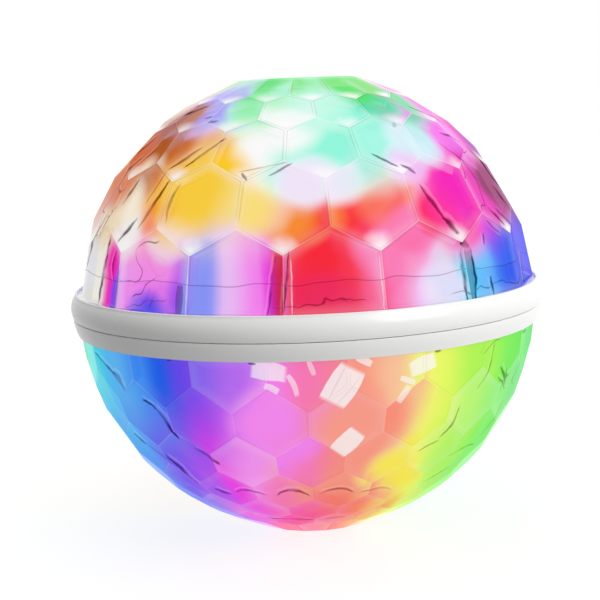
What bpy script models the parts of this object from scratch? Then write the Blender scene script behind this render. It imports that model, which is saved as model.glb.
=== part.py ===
"""LED disco ball light: two clear faceted domes joined by a two-part white belt.

The upper half turns on the lower half. A geared motor under the deck drives a
pinion, and the pinion drives an internal ring gear that is clamped between the
upper dome and the upper belt. The lower half holds the cell, the control board,
the power button and the lower lights.

Units are metres and +Z is up. The origin is the middle of the flat at the foot
of the ball, on which it stands. Heights below are taken from the equator, the
plane through the middle of the ball, unless a comment says otherwise.
"""
import math
from collections import namedtuple

import bmesh
import bpy
from mathutils import Matrix, Vector

OBJECT_NAME = "led_disco_ball"

# Clearances
FIT_GAP = 0.0003
SOCKET_GAP = 0.0002
CUT_OVERRUN = 0.0010
HOLE_GAP = 0.0003

# Domes
DOME_RADIUS = 0.0600
DOME_WALL = 0.0026
STAND_FLAT_RADIUS = 0.0137
COLLAR_HEIGHT = 0.0120
RIM_STEP = 0.0008
RIM_WALL = 0.0026
DomeCut = namedtuple("DomeCut", "columns rows first_corner turn")
UPPER_CUT = DomeCut(columns=16, rows=5, first_corner=math.radians(18.0), turn=math.radians(-5.0))
LOWER_CUT = DomeCut(columns=20, rows=7, first_corner=math.radians(11.0), turn=math.radians(171.5))

# Belt
BELT_BULGE = 0.0015
BELT_LIP_WIDTH = 0.0004
PARTING_DEPTH = 0.0008
PARTING_GAP = 0.0006
UPPER_BELT_HEIGHT = 0.0060
LOWER_BELT_HEIGHT = 0.0040
BELT_WIDEST_HEIGHT = 0.0016
LOWER_BELT_DROP = 0.0009
LOWER_BELT_BULGE = 0.00018
BELT_LIP_HEIGHT = 0.0007
UPPER_LEDGE_THICKNESS = 0.0010
LOWER_LEDGE_THICKNESS = 0.0009
BELT_SKIRT_WIDTH = 0.0008
BELT_SKIRT_HEIGHT = 0.0003

# Bearing and drive
GLIDE_WIDTH = 0.0035
GLIDE_THICKNESS = 0.0005
GEAR_MODULE = 0.0015
GEAR_RIM = 0.0024
GEAR_HEIGHT = 0.0052
GEAR_FLANGE_THICKNESS = 0.0012
ADDENDUM_PER_MODULE = 0.8
DEDENDUM_PER_MODULE = 1.07
PRESSURE_ANGLE = math.radians(20.0)
GEAR_BACKLASH = 0.00030
PINION_TEETH = 12
PINION_HEIGHT = 0.0042
SHAFT_RADIUS = 0.0015
BUSH_WALL = 0.0014
MOTOR_RADIUS = 0.0120
MOTOR_HEIGHT = 0.0140
MOTOR_SHAFT_OFFSET = 0.0060
MOTOR_SCREW_GAP = 0.0001
MOTOR_EAR_MARGIN = 0.0026
MOTOR_EAR_WIDTH = 0.0070
MOTOR_EAR_CORNER = 0.0028
MOTOR_EAR_THICKNESS = 0.0010
MOTOR_SHAFT_DEPTH = 0.0040

# Deck and keeper plate
DECK_FLANGE_THICKNESS = 0.0009
DECK_THICKNESS = 0.0020
PILLAR_RADIUS = 0.0022
PILLAR_AZIMUTHS = tuple(math.radians(degrees) for degrees in (60.0, 180.0, 300.0))
PILLAR_INSET = 0.0033
KEEPER_THICKNESS = 0.0014
KEEPER_OVERLAP = 0.0034
WIRE_HOLE_RADIUS = 0.0050

# Screws
SCREW_RADIUS = 0.0009
SCREW_HEAD_RADIUS = 0.0018
SCREW_HEAD_HEIGHT = 0.0010
SCREW_RECESS_DEPTH = 0.0005
SCREW_LENGTH = 0.0060
SCREW_RECESS_SHARE = 0.5

# Lights
BOARD_THICKNESS = 0.0014
BOARD_HOLE_RADIUS = 0.0020
BOARD_SCREW_COUNT = 3
UPPER_BOARD_RADIUS = 0.0260
UPPER_BOARD_LIFT = 0.0015
LOWER_BOARD_RADIUS = 0.0200
LOWER_BOARD_LIFT = 0.0229
LED_SIZE = 0.0050
LED_HEIGHT = 0.0016
LED_CORNER = 0.0006
LED_BODY_SHARE = 0.6
LED_LENS_RADIUS = 0.0018
LED_LENS_TAPER = 0.6
UPPER_LED_COUNT = 6
UPPER_LED_CIRCLE = 0.0120
LOWER_LED_COUNT = 3
LOWER_LED_CIRCLE = 0.0065
CAP_WALL = 0.0014
UPPER_CAP_RADIUS = 0.0195
UPPER_CAP_HEIGHT = 0.0100
LOWER_CAP_RADIUS = 0.0140
LOWER_CAP_HEIGHT = 0.0070
BOARD_SCREW_EDGE = 0.0030

# Posts and reflector bowl under the deck
POST_RADIUS = 0.0022
POST_CIRCLE = 0.0165
POST_AZIMUTHS = tuple(math.radians(degrees) for degrees in (0.0, 120.0, 240.0))
POST_RING_THICKNESS = 0.0012
BOWL_CLEARANCE = 0.00125
BOWL_MOTOR_GAP = 0.0012
BOWL_RIM_GAP = 0.0007
BOWL_WALL = 0.0012
BOWL_STEEPEST_FLOOR = math.radians(60.0)

# Cell and cradle
CELL_RADIUS = 0.0070
CELL_LENGTH = 0.0500
CELL_NUB_RADIUS = 0.0028
CELL_NUB_HEIGHT = 0.0012
CRADLE_POST_GAP = 0.0011
PAD_THICKNESS = 0.0016
PAD_WIDTH = 0.0080
PAD_CORNER = 0.0013
PAD_LENGTH_SHARE = 0.8
CRADLE_WALL = 0.0014
CRADLE_EAR = 0.0052
CRADLE_EAR_WIDTH = 0.0065
CRADLE_EAR_THICKNESS = 0.0014
CRADLE_EAR_PLACE_SHARE = 1 / 3

# Control board, socket, switch and button
CONTROL_AZIMUTH = math.radians(96.0)
CONTROL_HALF_SPREAD = math.radians(28.0)
CONTROL_WIDTH = 0.0204
SOCKET_AZIMUTH = math.radians(90.0)
SOCKET_WIDTH = 0.0075
SOCKET_HEIGHT = 0.0022
SOCKET_LENGTH = 0.0075
SOCKET_CORNER = 0.0006
SOCKET_WALL = 0.0002
SOCKET_MOUTH_DEPTH = 0.0055
SOCKET_SET_BACK = 0.0003
TONGUE_WIDTH = 0.0044
TONGUE_THICKNESS = 0.0005
TONGUE_LENGTH = 0.0048
BUTTON_AZIMUTH = math.radians(109.0)
BUTTON_WIDTH = 0.0070
BUTTON_HEIGHT = 0.0020
BUTTON_CORNER = 0.0008
BUTTON_STANDS_OUT = 0.0004
BUTTON_TRAVEL = 0.0006
BUTTON_FLANGE_THICKNESS = 0.0007
BUTTON_FLANGE_MARGIN = 0.0006
STEM_WIDTH = 0.0020
SWITCH_WIDTH = 0.0060
SWITCH_HEIGHT = 0.0022
SWITCH_LENGTH = 0.0032
PLUNGER_RADIUS = 0.0006
PLUNGER_LENGTH = 0.0024
CHIP_SIZE = 0.0070
CHIP_CORNER = 0.0007
CHIP_HEIGHT = 0.0014
MICROPHONE_RADIUS = 0.0030
MICROPHONE_HEIGHT = 0.0026
MICROPHONE_PLACE_SHARE = 0.5

# Lead from the control board to the upper lights
LEAD_RADIUS = 0.0006

# Steps round or along a curved shape
BELT_SEGMENTS = 64
DISC_SEGMENTS = 44
CAN_SEGMENTS = 24
SMALL_SEGMENTS = 18
HOLE_SEGMENTS = 8
SCREW_SEGMENTS = 8
BOWL_SEGMENTS = 32
BELT_CURVE_STEPS = 4
CAP_STEPS = 4
BOWL_STEPS = 4
CORNER_STEPS = 2
TROUGH_STEPS = 12
BOARD_OUTER_STEPS = 12
BOARD_INNER_STEPS = 8
LEAD_STEPS = 3
RING_FLANK_STEPS = 1
PINION_FLANK_STEPS = 3

# Tolerances of the modelling steps
ROUND_PROFILE = 0.5
SEAM_TOLERANCE = 0.00001
WELD_TOLERANCE = 0.000001
SLICE_TOLERANCE = 0.0000001
SHARP_ANGLE = math.radians(25.0)

# Heights and radii that follow from the sizes above
BALL_HALF_HEIGHT = math.sqrt(DOME_RADIUS ** 2 - STAND_FLAT_RADIUS ** 2)
RIM_RADIUS = DOME_RADIUS * math.cos(math.pi / UPPER_CUT.columns) - RIM_STEP
RIM_BORE = RIM_RADIUS - RIM_WALL
LAND_RADIUS = DOME_RADIUS + SOCKET_GAP
BELT_RADIUS = LAND_RADIUS + BELT_LIP_WIDTH + BELT_BULGE
UPPER_BELT_FOOT = -PARTING_DEPTH + PARTING_GAP / 2
UPPER_BELT_TOP = UPPER_BELT_FOOT + UPPER_BELT_HEIGHT
UPPER_LEDGE_FOOT = UPPER_BELT_FOOT + BELT_SKIRT_HEIGHT
UPPER_LEDGE_TOP = UPPER_LEDGE_FOOT + UPPER_LEDGE_THICKNESS
GEAR_FLANGE_FOOT = UPPER_LEDGE_TOP + FIT_GAP
GEAR_FLANGE_TOP = GEAR_FLANGE_FOOT + GEAR_FLANGE_THICKNESS
UPPER_RIM_FOOT = GEAR_FLANGE_TOP + FIT_GAP
UPPER_LAND = UPPER_BELT_TOP - BELT_LIP_HEIGHT
UPPER_SHOULDER = UPPER_LAND + FIT_GAP
LOWER_BELT_TOP = -PARTING_DEPTH - PARTING_GAP / 2
LOWER_BELT_FOOT = LOWER_BELT_TOP - LOWER_BELT_HEIGHT
LOWER_LEDGE_FOOT = LOWER_BELT_TOP - LOWER_LEDGE_THICKNESS
LOWER_LAND = LOWER_BELT_FOOT + BELT_LIP_HEIGHT
DECK_TOP = LOWER_LEDGE_FOOT - FIT_GAP
DECK_FLANGE_FOOT = DECK_TOP - DECK_FLANGE_THICKNESS
DECK_FOOT = DECK_TOP - DECK_THICKNESS
LOWER_RIM_DEPTH = FIT_GAP - DECK_FLANGE_FOOT
LOWER_SHOULDER_DEPTH = FIT_GAP - LOWER_LAND
JOURNAL_RADIUS = RIM_BORE - FIT_GAP
GEAR_FOOT = DECK_TOP + FIT_GAP
GEAR_TOP = GEAR_FOOT + GEAR_HEIGHT
ADDENDUM = GEAR_MODULE * ADDENDUM_PER_MODULE
DEDENDUM = GEAR_MODULE * DEDENDUM_PER_MODULE
RING_TEETH = int(2 * (JOURNAL_RADIUS - GEAR_RIM - DEDENDUM) / GEAR_MODULE)
RING_PITCH_RADIUS = GEAR_MODULE * RING_TEETH / 2
PINION_PITCH_RADIUS = GEAR_MODULE * PINION_TEETH / 2
PINION_PLACE = RING_PITCH_RADIUS - PINION_PITCH_RADIUS
PINION_FOOT = (GEAR_FOOT + GEAR_TOP - PINION_HEIGHT) / 2
MOTOR_PLACE = PINION_PLACE - MOTOR_SHAFT_OFFSET
MOTOR_TOP = DECK_FOOT - FIT_GAP
MOTOR_SCREW_PLACE = MOTOR_RADIUS + SCREW_HEAD_RADIUS + MOTOR_SCREW_GAP
MOTOR_EAR_REACH = MOTOR_SCREW_PLACE + MOTOR_EAR_MARGIN
KEEPER_FOOT = GEAR_TOP + FIT_GAP
KEEPER_TOP = KEEPER_FOOT + KEEPER_THICKNESS
KEEPER_RADIUS = RING_PITCH_RADIUS - ADDENDUM + KEEPER_OVERLAP
PILLAR_PLACE = RING_PITCH_RADIUS - ADDENDUM - PILLAR_INSET
UPPER_BOARD_FOOT = KEEPER_TOP + UPPER_BOARD_LIFT
UPPER_BOARD_TOP = UPPER_BOARD_FOOT + BOARD_THICKNESS
UPPER_BOARD_SCREW_CIRCLE = UPPER_BOARD_RADIUS - BOARD_SCREW_EDGE
UPPER_BOARD_SCREW_LENGTH = UPPER_BOARD_TOP - KEEPER_FOOT - SCREW_RADIUS
LOWER_BOARD_TOP = LOWER_BOARD_LIFT - BALL_HALF_HEIGHT
LOWER_BOARD_FOOT = LOWER_BOARD_TOP - BOARD_THICKNESS
CONTROL_OUTER_RADIUS = RIM_BORE - FIT_GAP
CONTROL_INNER_RADIUS = RIM_BORE - CONTROL_WIDTH
CONTROL_PARTS_TOP = GEAR_FOOT - FIT_GAP
CONTROL_TOP = min(DECK_FOOT - FIT_GAP,
                  CONTROL_PARTS_TOP - max(SOCKET_HEIGHT, SWITCH_HEIGHT) - SOCKET_GAP)
CONTROL_FOOT = CONTROL_TOP - BOARD_THICKNESS
SOCKET_MIDDLE = CONTROL_TOP + SOCKET_GAP + SOCKET_HEIGHT / 2
SWITCH_MIDDLE = CONTROL_TOP + SOCKET_GAP + SWITCH_HEIGHT / 2
BOWL_RIM_DEPTH = BOWL_RIM_GAP - CONTROL_FOOT
BOWL_FLOOR_FOOT = LOWER_BOARD_TOP + FIT_GAP
BOWL_FLOOR_TOP = BOWL_FLOOR_FOOT + BOWL_WALL
BOWL_RADIUS = RIM_BORE - BOWL_CLEARANCE
BOWL_INNER_RADIUS = BOWL_RADIUS - BOWL_WALL
BOWL_MOTOR_ANGLE = math.acos((MOTOR_PLACE + MOTOR_RADIUS + BOWL_MOTOR_GAP) / BOWL_INNER_RADIUS)
BOWL_MOTOR_DROP = MOTOR_HEIGHT + BOWL_MOTOR_GAP - MOTOR_TOP - BOWL_RIM_DEPTH
BOWL_FLOOR_DROP = -BOWL_RIM_DEPTH - BOWL_FLOOR_TOP
BOWL_INNER_DEPTH = max(BOWL_MOTOR_DROP / math.sin(BOWL_MOTOR_ANGLE),
                       BOWL_FLOOR_DROP / math.sin(BOWL_STEEPEST_FLOOR))
BOWL_DEPTH = BOWL_INNER_DEPTH + BOWL_WALL
CRADLE_HALF_WIDTH = CELL_RADIUS + FIT_GAP + CRADLE_WALL
CELL_PLACE = -POST_CIRCLE - POST_RADIUS - CRADLE_POST_GAP - CRADLE_HALF_WIDTH
CELL_HEIGHT = DECK_FOOT - FIT_GAP - PAD_THICKNESS - FIT_GAP - CELL_RADIUS
HOLE_RADIUS = SCREW_RADIUS + HOLE_GAP


def clear_scene():
    """Remove every object, so that the script can run in any open file."""
    for item in list(bpy.data.objects):
        bpy.data.objects.remove(item, do_unlink=True)


def new_collection(name):
    """Return a new collection linked to the scene."""
    collection = bpy.data.collections.new(name)
    bpy.context.scene.collection.children.link(collection)
    return collection


def plastic(name, colour, roughness=0.4, metallic=0.0, clear=0.0):
    """Return a Principled material with the given finish."""
    material = bpy.data.materials.new(name)
    material.use_nodes = True
    shader = material.node_tree.nodes["Principled BSDF"]
    shader.inputs["Base Color"].default_value = (*colour, 1.0)
    shader.inputs["Roughness"].default_value = roughness
    shader.inputs["Metallic"].default_value = metallic
    shader.inputs["Transmission Weight"].default_value = clear
    return material


class Bench:
    """The collections and the empties that hold the pieces."""

    def __init__(self):
        self.parts = new_collection(OBJECT_NAME)
        self.cutters = new_collection(OBJECT_NAME + "_cutters")
        self.ball = self.empty("ball_centre", None, (0, 0, BALL_HALF_HEIGHT))

    def empty(self, name, parent, place, turn=0.0):
        """Return an empty, turned about the vertical, that carries pieces."""
        holder = bpy.data.objects.new(name, None)
        self.parts.objects.link(holder)
        holder.parent = parent
        holder.location = place
        holder.rotation_euler = (0, 0, turn)
        return holder

    def station(self, name, azimuth):
        """Return an empty at the ball's middle whose +X points along an azimuth."""
        return self.empty(name, self.ball, (0, 0, 0), azimuth)

    def add(self, name, mesh, material, parent=None, place=(0, 0, 0)):
        """Return a part: an object with its own material, carried by an empty."""
        part = bpy.data.objects.new(name, mesh)
        self.parts.objects.link(part)
        part.parent = parent or self.ball
        part.location = place
        mesh.materials.clear()
        mesh.materials.append(material)
        return part

    def tool(self, name, mesh, parent=None, place=(0, 0, 0)):
        """Return a shape that only cuts, or is joined to, a part."""
        shape = bpy.data.objects.new(name, mesh)
        self.cutters.objects.link(shape)
        shape.parent = parent or self.ball
        shape.location = place
        shape.hide_render = True
        shape.display_type = "WIRE"
        return shape


def combine(part, tool, operation):
    """Join a tool to a part, or cut it away, with an exact Boolean."""
    modifier = part.modifiers.new(operation.lower() + "_" + tool.name, "BOOLEAN")
    modifier.operation = operation
    modifier.object = tool
    modifier.solver = "EXACT"
    return part


def mesh_from(bm, name):
    """Turn a bmesh into a mesh whose faces point out."""
    bmesh.ops.recalc_face_normals(bm, faces=bm.faces)
    mesh = bpy.data.meshes.new(name)
    bm.to_mesh(mesh)
    bm.free()
    return mesh


def cylinder_mesh(name, radius, foot, top, segments=SMALL_SEGMENTS):
    """A closed cylinder about Z between two heights."""
    bm = bmesh.new()
    middle = Matrix.Translation((0, 0, (foot + top) / 2))
    bmesh.ops.create_cone(bm, cap_ends=True, segments=segments, radius1=radius,
                          radius2=radius, depth=top - foot, matrix=middle)
    return mesh_from(bm, name)


def holes_mesh(name, places, radius, foot, top):
    """Several upright cylinders in one mesh, for drilling or for pillars."""
    bm = bmesh.new()
    for x, y in places:
        middle = Matrix.Translation((x, y, (foot + top) / 2))
        bmesh.ops.create_cone(bm, cap_ends=True, segments=HOLE_SEGMENTS, radius1=radius,
                              radius2=radius, depth=top - foot, matrix=middle)
    return mesh_from(bm, name)


def block_mesh(name, low, high, corner=0.0, along=0):
    """A box between two corners; the four edges along one axis can be rounded."""
    bm = bmesh.new()
    bmesh.ops.create_cube(bm, size=1.0)
    low, high = Vector(low), Vector(high)
    size, middle = high - low, (low + high) / 2
    bmesh.ops.scale(bm, vec=size, verts=bm.verts)
    bmesh.ops.translate(bm, vec=middle, verts=bm.verts)
    if corner:
        edges = [edge for edge in bm.edges
                 if abs(edge.verts[0].co[along] - edge.verts[1].co[along]) > size[along] / 2]
        bmesh.ops.bevel(bm, geom=edges, offset=corner, segments=CORNER_STEPS,
                        profile=ROUND_PROFILE, affect="EDGES")
    return mesh_from(bm, name)


def turned_mesh(name, outline, segments=DISC_SEGMENTS):
    """Turn an outline of (radius, height) points about Z.

    The points run down the outer side and back up the inner one. An outline
    that starts and ends on the axis gives a solid, any other one gives a ring.
    """
    profile = bpy.data.meshes.new(name + "_profile")
    points = [(radius, 0, height) for radius, height in outline]
    edges = [(index, index + 1) for index in range(len(points) - 1)]
    if outline[0][0] > 0:
        edges.append((len(points) - 1, 0))
    profile.from_pydata(points, edges, [])
    turning = bpy.data.objects.new(name + "_turning", profile)
    bpy.context.scene.collection.objects.link(turning)
    screw = turning.modifiers.new("turn", "SCREW")
    screw.axis = "Z"
    screw.angle = 2 * math.pi
    screw.steps = segments
    screw.render_steps = segments
    screw.use_merge_vertices = True
    screw.merge_threshold = SEAM_TOLERANCE
    return taken_mesh(turning, name)


def taken_mesh(source, name):
    """Return the evaluated mesh of an object, and remove the object."""
    bpy.context.view_layer.update()
    graph = bpy.context.evaluated_depsgraph_get()
    mesh = bpy.data.meshes.new_from_object(source.evaluated_get(graph))
    mesh.name = name
    bpy.data.objects.remove(source, do_unlink=True)
    bm = bmesh.new()
    bm.from_mesh(mesh)
    bmesh.ops.remove_doubles(bm, verts=bm.verts, dist=WELD_TOLERANCE)
    bmesh.ops.recalc_face_normals(bm, faces=bm.faces)
    bm.to_mesh(mesh)
    bm.free()
    return mesh


def plate_mesh(name, outlines, foot, top):
    """A flat plate from closed outlines in X and Y; an inner outline is a hole."""
    curve = bpy.data.curves.new(name, "CURVE")
    curve.dimensions = "2D"
    curve.fill_mode = "BOTH"
    curve.extrude = (top - foot) / 2
    for outline in outlines:
        spline = curve.splines.new("POLY")
        spline.points.add(len(outline) - 1)
        for point, (x, y) in zip(spline.points, outline):
            point.co = (x, y, 0, 1)
        spline.use_cyclic_u = True
    flat = bpy.data.objects.new(name, curve)
    bpy.context.scene.collection.objects.link(flat)
    mesh = taken_mesh(flat, name)
    mesh.transform(Matrix.Translation((0, 0, (foot + top) / 2)))
    return mesh


def tube_mesh(name, run, radius):
    """A round lead: a smooth tube through a run of points."""
    curve = bpy.data.curves.new(name, "CURVE")
    curve.dimensions = "3D"
    curve.bevel_depth = radius
    curve.bevel_resolution = 1
    curve.use_fill_caps = True
    points = smooth_points([Vector(point) for point in run])
    spline = curve.splines.new("POLY")
    spline.points.add(len(points) - 1)
    for knot, point in zip(spline.points, points):
        knot.co = (*point, 1)
    lead = bpy.data.objects.new(name, curve)
    bpy.context.scene.collection.objects.link(lead)
    return taken_mesh(lead, name)


def smooth_points(points):
    """Points along a smooth curve through the given ones."""
    ends = [2 * points[0] - points[1]] + points + [2 * points[-1] - points[-2]]
    smooth = []
    for before, start, finish, after in zip(ends, ends[1:], ends[2:], ends[3:]):
        for step in range(LEAD_STEPS):
            share = step / LEAD_STEPS
            bend = 2 * start + (finish - before) * share
            bend += (2 * before - 5 * start + 4 * finish - after) * share ** 2
            bend += (3 * start - before - 3 * finish + after) * share ** 3
            smooth.append(bend / 2)
    return smooth + [points[-1]]


def on_circle(radius, azimuths):
    """Places on a circle about the axis."""
    return [(radius * math.cos(azimuth), radius * math.sin(azimuth)) for azimuth in azimuths]


def evenly(count, start=0.0):
    """Azimuths spread evenly round the axis."""
    return [start + 2 * math.pi * index / count for index in range(count)]


def arc(radius, start, finish, steps):
    """Points along an arc about the axis."""
    return on_circle(radius, [start + (finish - start) * step / steps for step in range(steps + 1)])


def screw_mesh(length):
    """A pan-head screw that points down from its seat at height zero."""
    recess = SCREW_HEAD_RADIUS * SCREW_RECESS_SHARE
    outline = [(0, SCREW_HEAD_HEIGHT - SCREW_RECESS_DEPTH), (recess, SCREW_HEAD_HEIGHT),
               (SCREW_HEAD_RADIUS, SCREW_HEAD_HEIGHT / 2), (SCREW_HEAD_RADIUS, 0),
               (SCREW_RADIUS, 0), (SCREW_RADIUS, -length), (0, -length - SCREW_RADIUS)]
    return turned_mesh("screw", outline, SCREW_SEGMENTS)


def add_copies(bench, name, mesh, places, height, material, upside_down=False):
    """Numbered parts that share one mesh, standing at places on one height."""
    for number, (x, y) in enumerate(places, start=1):
        copy = bench.add("%s_%d" % (name, number), mesh, material, place=(x, y, height))
        copy.rotation_euler = (math.pi if upside_down else 0, 0, 0)


def add_screws(bench, name, places, seat, length, material, upward=False):
    """Numbered screws with their heads on a seat, pointing down or up."""
    add_copies(bench, name, screw_mesh(length), places, seat, material, upward)


def facet_rows(columns, shoulder, first_corner, count):
    """Tilt and distance of each row of facets on a sphere of radius one.

    All corners lie on the sphere. The first row stands on the shoulder and its
    side edges end at the first corner. Each later row is shifted by half a
    column and goes through the free corners of the row below it.
    """
    narrowing = math.cos(math.pi / columns)
    start = math.asin(shoulder)
    tilt = math.atan(narrowing * (math.cos(start) - math.cos(first_corner))
                     / (math.sin(first_corner) - math.sin(start)))
    distance = (narrowing * math.cos(first_corner) * math.cos(tilt)
                + math.sin(first_corner) * math.sin(tilt))
    rows = [(tilt, distance)]
    side, peak = first_corner, tilt + math.acos(distance)
    while len(rows) < count:
        tilt = math.atan((math.cos(side) - narrowing * math.cos(peak))
                         / (math.sin(peak) - math.sin(side)))
        distance = math.cos(tilt - side)
        reach = math.hypot(narrowing * math.cos(tilt), math.sin(tilt))
        lean = math.atan2(math.sin(tilt), narrowing * math.cos(tilt))
        side, peak = lean + math.acos(distance / reach), 2 * tilt - side
        rows.append((tilt, distance))
    return rows


def slice_off(bm, point, normal):
    """Cut away what lies beyond a plane, and close the cut with one face."""
    everything = bm.verts[:] + bm.edges[:] + bm.faces[:]
    cut = bmesh.ops.bisect_plane(bm, geom=everything, dist=SLICE_TOLERANCE, plane_co=point,
                                 plane_no=normal, clear_outer=True)
    rim = [item for item in cut["geom_cut"] if isinstance(item, bmesh.types.BMEdge)]
    if rim:
        bmesh.ops.contextual_create(bm, geom=rim)


def gem_mesh(name, cut, rows, inset, foot, top):
    """A dome cut like a gem between two heights, its facets moved in by an inset."""
    bm = bmesh.new()
    bmesh.ops.create_cone(bm, cap_ends=True, segments=cut.columns, radius1=2 * DOME_RADIUS,
                          radius2=2 * DOME_RADIUS, depth=4 * DOME_RADIUS)
    slice_off(bm, (0, 0, foot), (0, 0, -1))
    slice_off(bm, (0, 0, top), (0, 0, 1))
    facing = cut.turn - math.pi / 2
    for row, (tilt, distance) in enumerate(rows):
        for azimuth in evenly(cut.columns, facing + math.pi * (row + 1) / cut.columns):
            normal = Vector((math.cos(tilt) * math.cos(azimuth),
                             math.cos(tilt) * math.sin(azimuth), math.sin(tilt)))
            slice_off(bm, normal * (DOME_RADIUS * distance - inset), normal)
    return mesh_from(bm, name)


def make_dome(bench, name, material, cut, rim_foot, shoulder, holder):
    """A clear dome: facets outside and inside, and a round rim that fits in the belt."""
    rows = facet_rows(cut.columns, shoulder / DOME_RADIUS, cut.first_corner, cut.rows)
    dome = bench.add(name, gem_mesh(name, cut, rows, 0, shoulder, BALL_HALF_HEIGHT), material, holder)
    rim = cylinder_mesh(name + "_rim", RIM_RADIUS, rim_foot, shoulder + RIM_STEP, BELT_SEGMENTS)
    combine(dome, bench.tool(name + "_rim", rim, holder), "UNION")
    hollow = gem_mesh(name + "_hollow", cut, rows, DOME_WALL, COLLAR_HEIGHT - RIM_STEP,
                      BALL_HALF_HEIGHT - DOME_WALL)
    combine(dome, bench.tool(name + "_hollow", hollow, holder), "DIFFERENCE")
    bore = cylinder_mesh(name + "_bore", RIM_BORE, rim_foot - CUT_OVERRUN, COLLAR_HEIGHT, BELT_SEGMENTS)
    combine(dome, bench.tool(name + "_bore", bore, holder), "DIFFERENCE")
    return dome


def bulge_radius(height):
    """Radius of the upper belt's bulging outside at a height."""
    share = (height - BELT_WIDEST_HEIGHT) / (UPPER_BELT_TOP - BELT_WIDEST_HEIGHT)
    return BELT_RADIUS - BELT_BULGE * share ** 2


def belt_curve():
    """The bulging outside of the upper belt, from its top edge down to its foot."""
    step_height = UPPER_BELT_HEIGHT / BELT_CURVE_STEPS
    heights = [UPPER_BELT_TOP - step_height * step for step in range(BELT_CURVE_STEPS + 1)]
    return [(bulge_radius(height), height) for height in heights]


def skirt_radius():
    """Inner radius of the skirt that hangs from the upper belt round the glide ring."""
    return bulge_radius(UPPER_BELT_FOOT) - BELT_SKIRT_WIDTH


def upper_belt_outline():
    """Section of the upper belt: bulge, skirt round the glide ring, ledge, wall and lip."""
    outside = belt_curve()
    skirt = skirt_radius()
    wall = RIM_RADIUS + FIT_GAP
    inside = [(skirt, UPPER_BELT_FOOT), (skirt, UPPER_LEDGE_FOOT), (RIM_BORE, UPPER_LEDGE_FOOT),
              (RIM_BORE, UPPER_LEDGE_TOP), (wall, UPPER_LEDGE_TOP), (wall, UPPER_LAND),
              (LAND_RADIUS, UPPER_LAND), (LAND_RADIUS, UPPER_BELT_TOP)]
    return outside + inside


def lower_belt_outline():
    """Section of the lower belt: tapered outside, lip, wall and the ledge under the glide ring."""
    head = bulge_radius(UPPER_BELT_FOOT)
    foot = head - LOWER_BELT_DROP
    middle = (head + foot) / 2 + LOWER_BELT_BULGE
    wall = RIM_RADIUS + FIT_GAP
    return [(head, LOWER_BELT_TOP), (middle, (LOWER_BELT_TOP + LOWER_BELT_FOOT) / 2),
            (foot, LOWER_BELT_FOOT), (LAND_RADIUS, LOWER_BELT_FOOT), (LAND_RADIUS, LOWER_LAND),
            (wall, LOWER_LAND), (wall, LOWER_LEDGE_FOOT), (RIM_BORE, LOWER_LEDGE_FOOT),
            (RIM_BORE, LOWER_BELT_TOP)]


def ring_outline(inner, outer, foot, top):
    """Section of a plain ring."""
    return [(outer, top), (outer, foot), (inner, foot), (inner, top)]


def make_belt(bench, finishes):
    """Both belt rings and the glide ring between them; returns the lower ring."""
    bench.add("upper_belt", turned_mesh("upper_belt", upper_belt_outline(), BELT_SEGMENTS),
              finishes["upper_belt"])
    glide_outer = skirt_radius() - FIT_GAP
    glide_foot = UPPER_LEDGE_FOOT - SOCKET_GAP - GLIDE_THICKNESS
    glide = ring_outline(glide_outer - GLIDE_WIDTH, glide_outer, glide_foot,
                         glide_foot + GLIDE_THICKNESS)
    bench.add("glide_ring", turned_mesh("glide_ring", glide, BELT_SEGMENTS), finishes["glide"])
    return bench.add("lower_belt", turned_mesh("lower_belt", lower_belt_outline(), BELT_SEGMENTS),
                     finishes["lower_belt"])


def involute(angle):
    """Involute function of a pressure angle."""
    return math.tan(angle) - angle


def tooth_half_angle(radius, pitch_radius, teeth, thickening):
    """Half the angle that a tooth fills at a radius."""
    base = pitch_radius * math.cos(PRESSURE_ANGLE)
    flank = involute(math.acos(min(1, base / radius)))
    return math.pi / (2 * teeth) + thickening / (2 * pitch_radius) + involute(PRESSURE_ANGLE) - flank


def tooth_points(teeth, pitch_radius, inner, outer, thickening, steps):
    """Outline of a toothed wheel with a tooth on +X."""
    points = []
    for azimuth in evenly(teeth):
        flank = []
        for step in range(steps + 1):
            radius = inner + (outer - inner) * step / steps
            flank.append((radius, tooth_half_angle(radius, pitch_radius, teeth, thickening)))
        for radius, half in flank:
            points += on_circle(radius, [azimuth - half])
        for radius, half in reversed(flank):
            points += on_circle(radius, [azimuth + half])
    return points


def make_ring_gear(bench, material):
    """Internal gear whose back runs in the lower belt, with the flange that is clamped."""
    spaces = tooth_points(RING_TEETH, RING_PITCH_RADIUS, RING_PITCH_RADIUS - ADDENDUM,
                          RING_PITCH_RADIUS + DEDENDUM, GEAR_BACKLASH, RING_FLANK_STEPS)
    back = on_circle(JOURNAL_RADIUS, evenly(BELT_SEGMENTS))
    body = plate_mesh("ring_gear", [back, spaces], GEAR_FOOT, GEAR_TOP)
    gear = bench.add("ring_gear", body, material)
    flange = ring_outline(JOURNAL_RADIUS - GEAR_RIM / 2, RIM_RADIUS, GEAR_FLANGE_FOOT, GEAR_FLANGE_TOP)
    combine(gear, bench.tool("gear_flange", turned_mesh("gear_flange", flange, BELT_SEGMENTS)), "UNION")
    return gear


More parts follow.
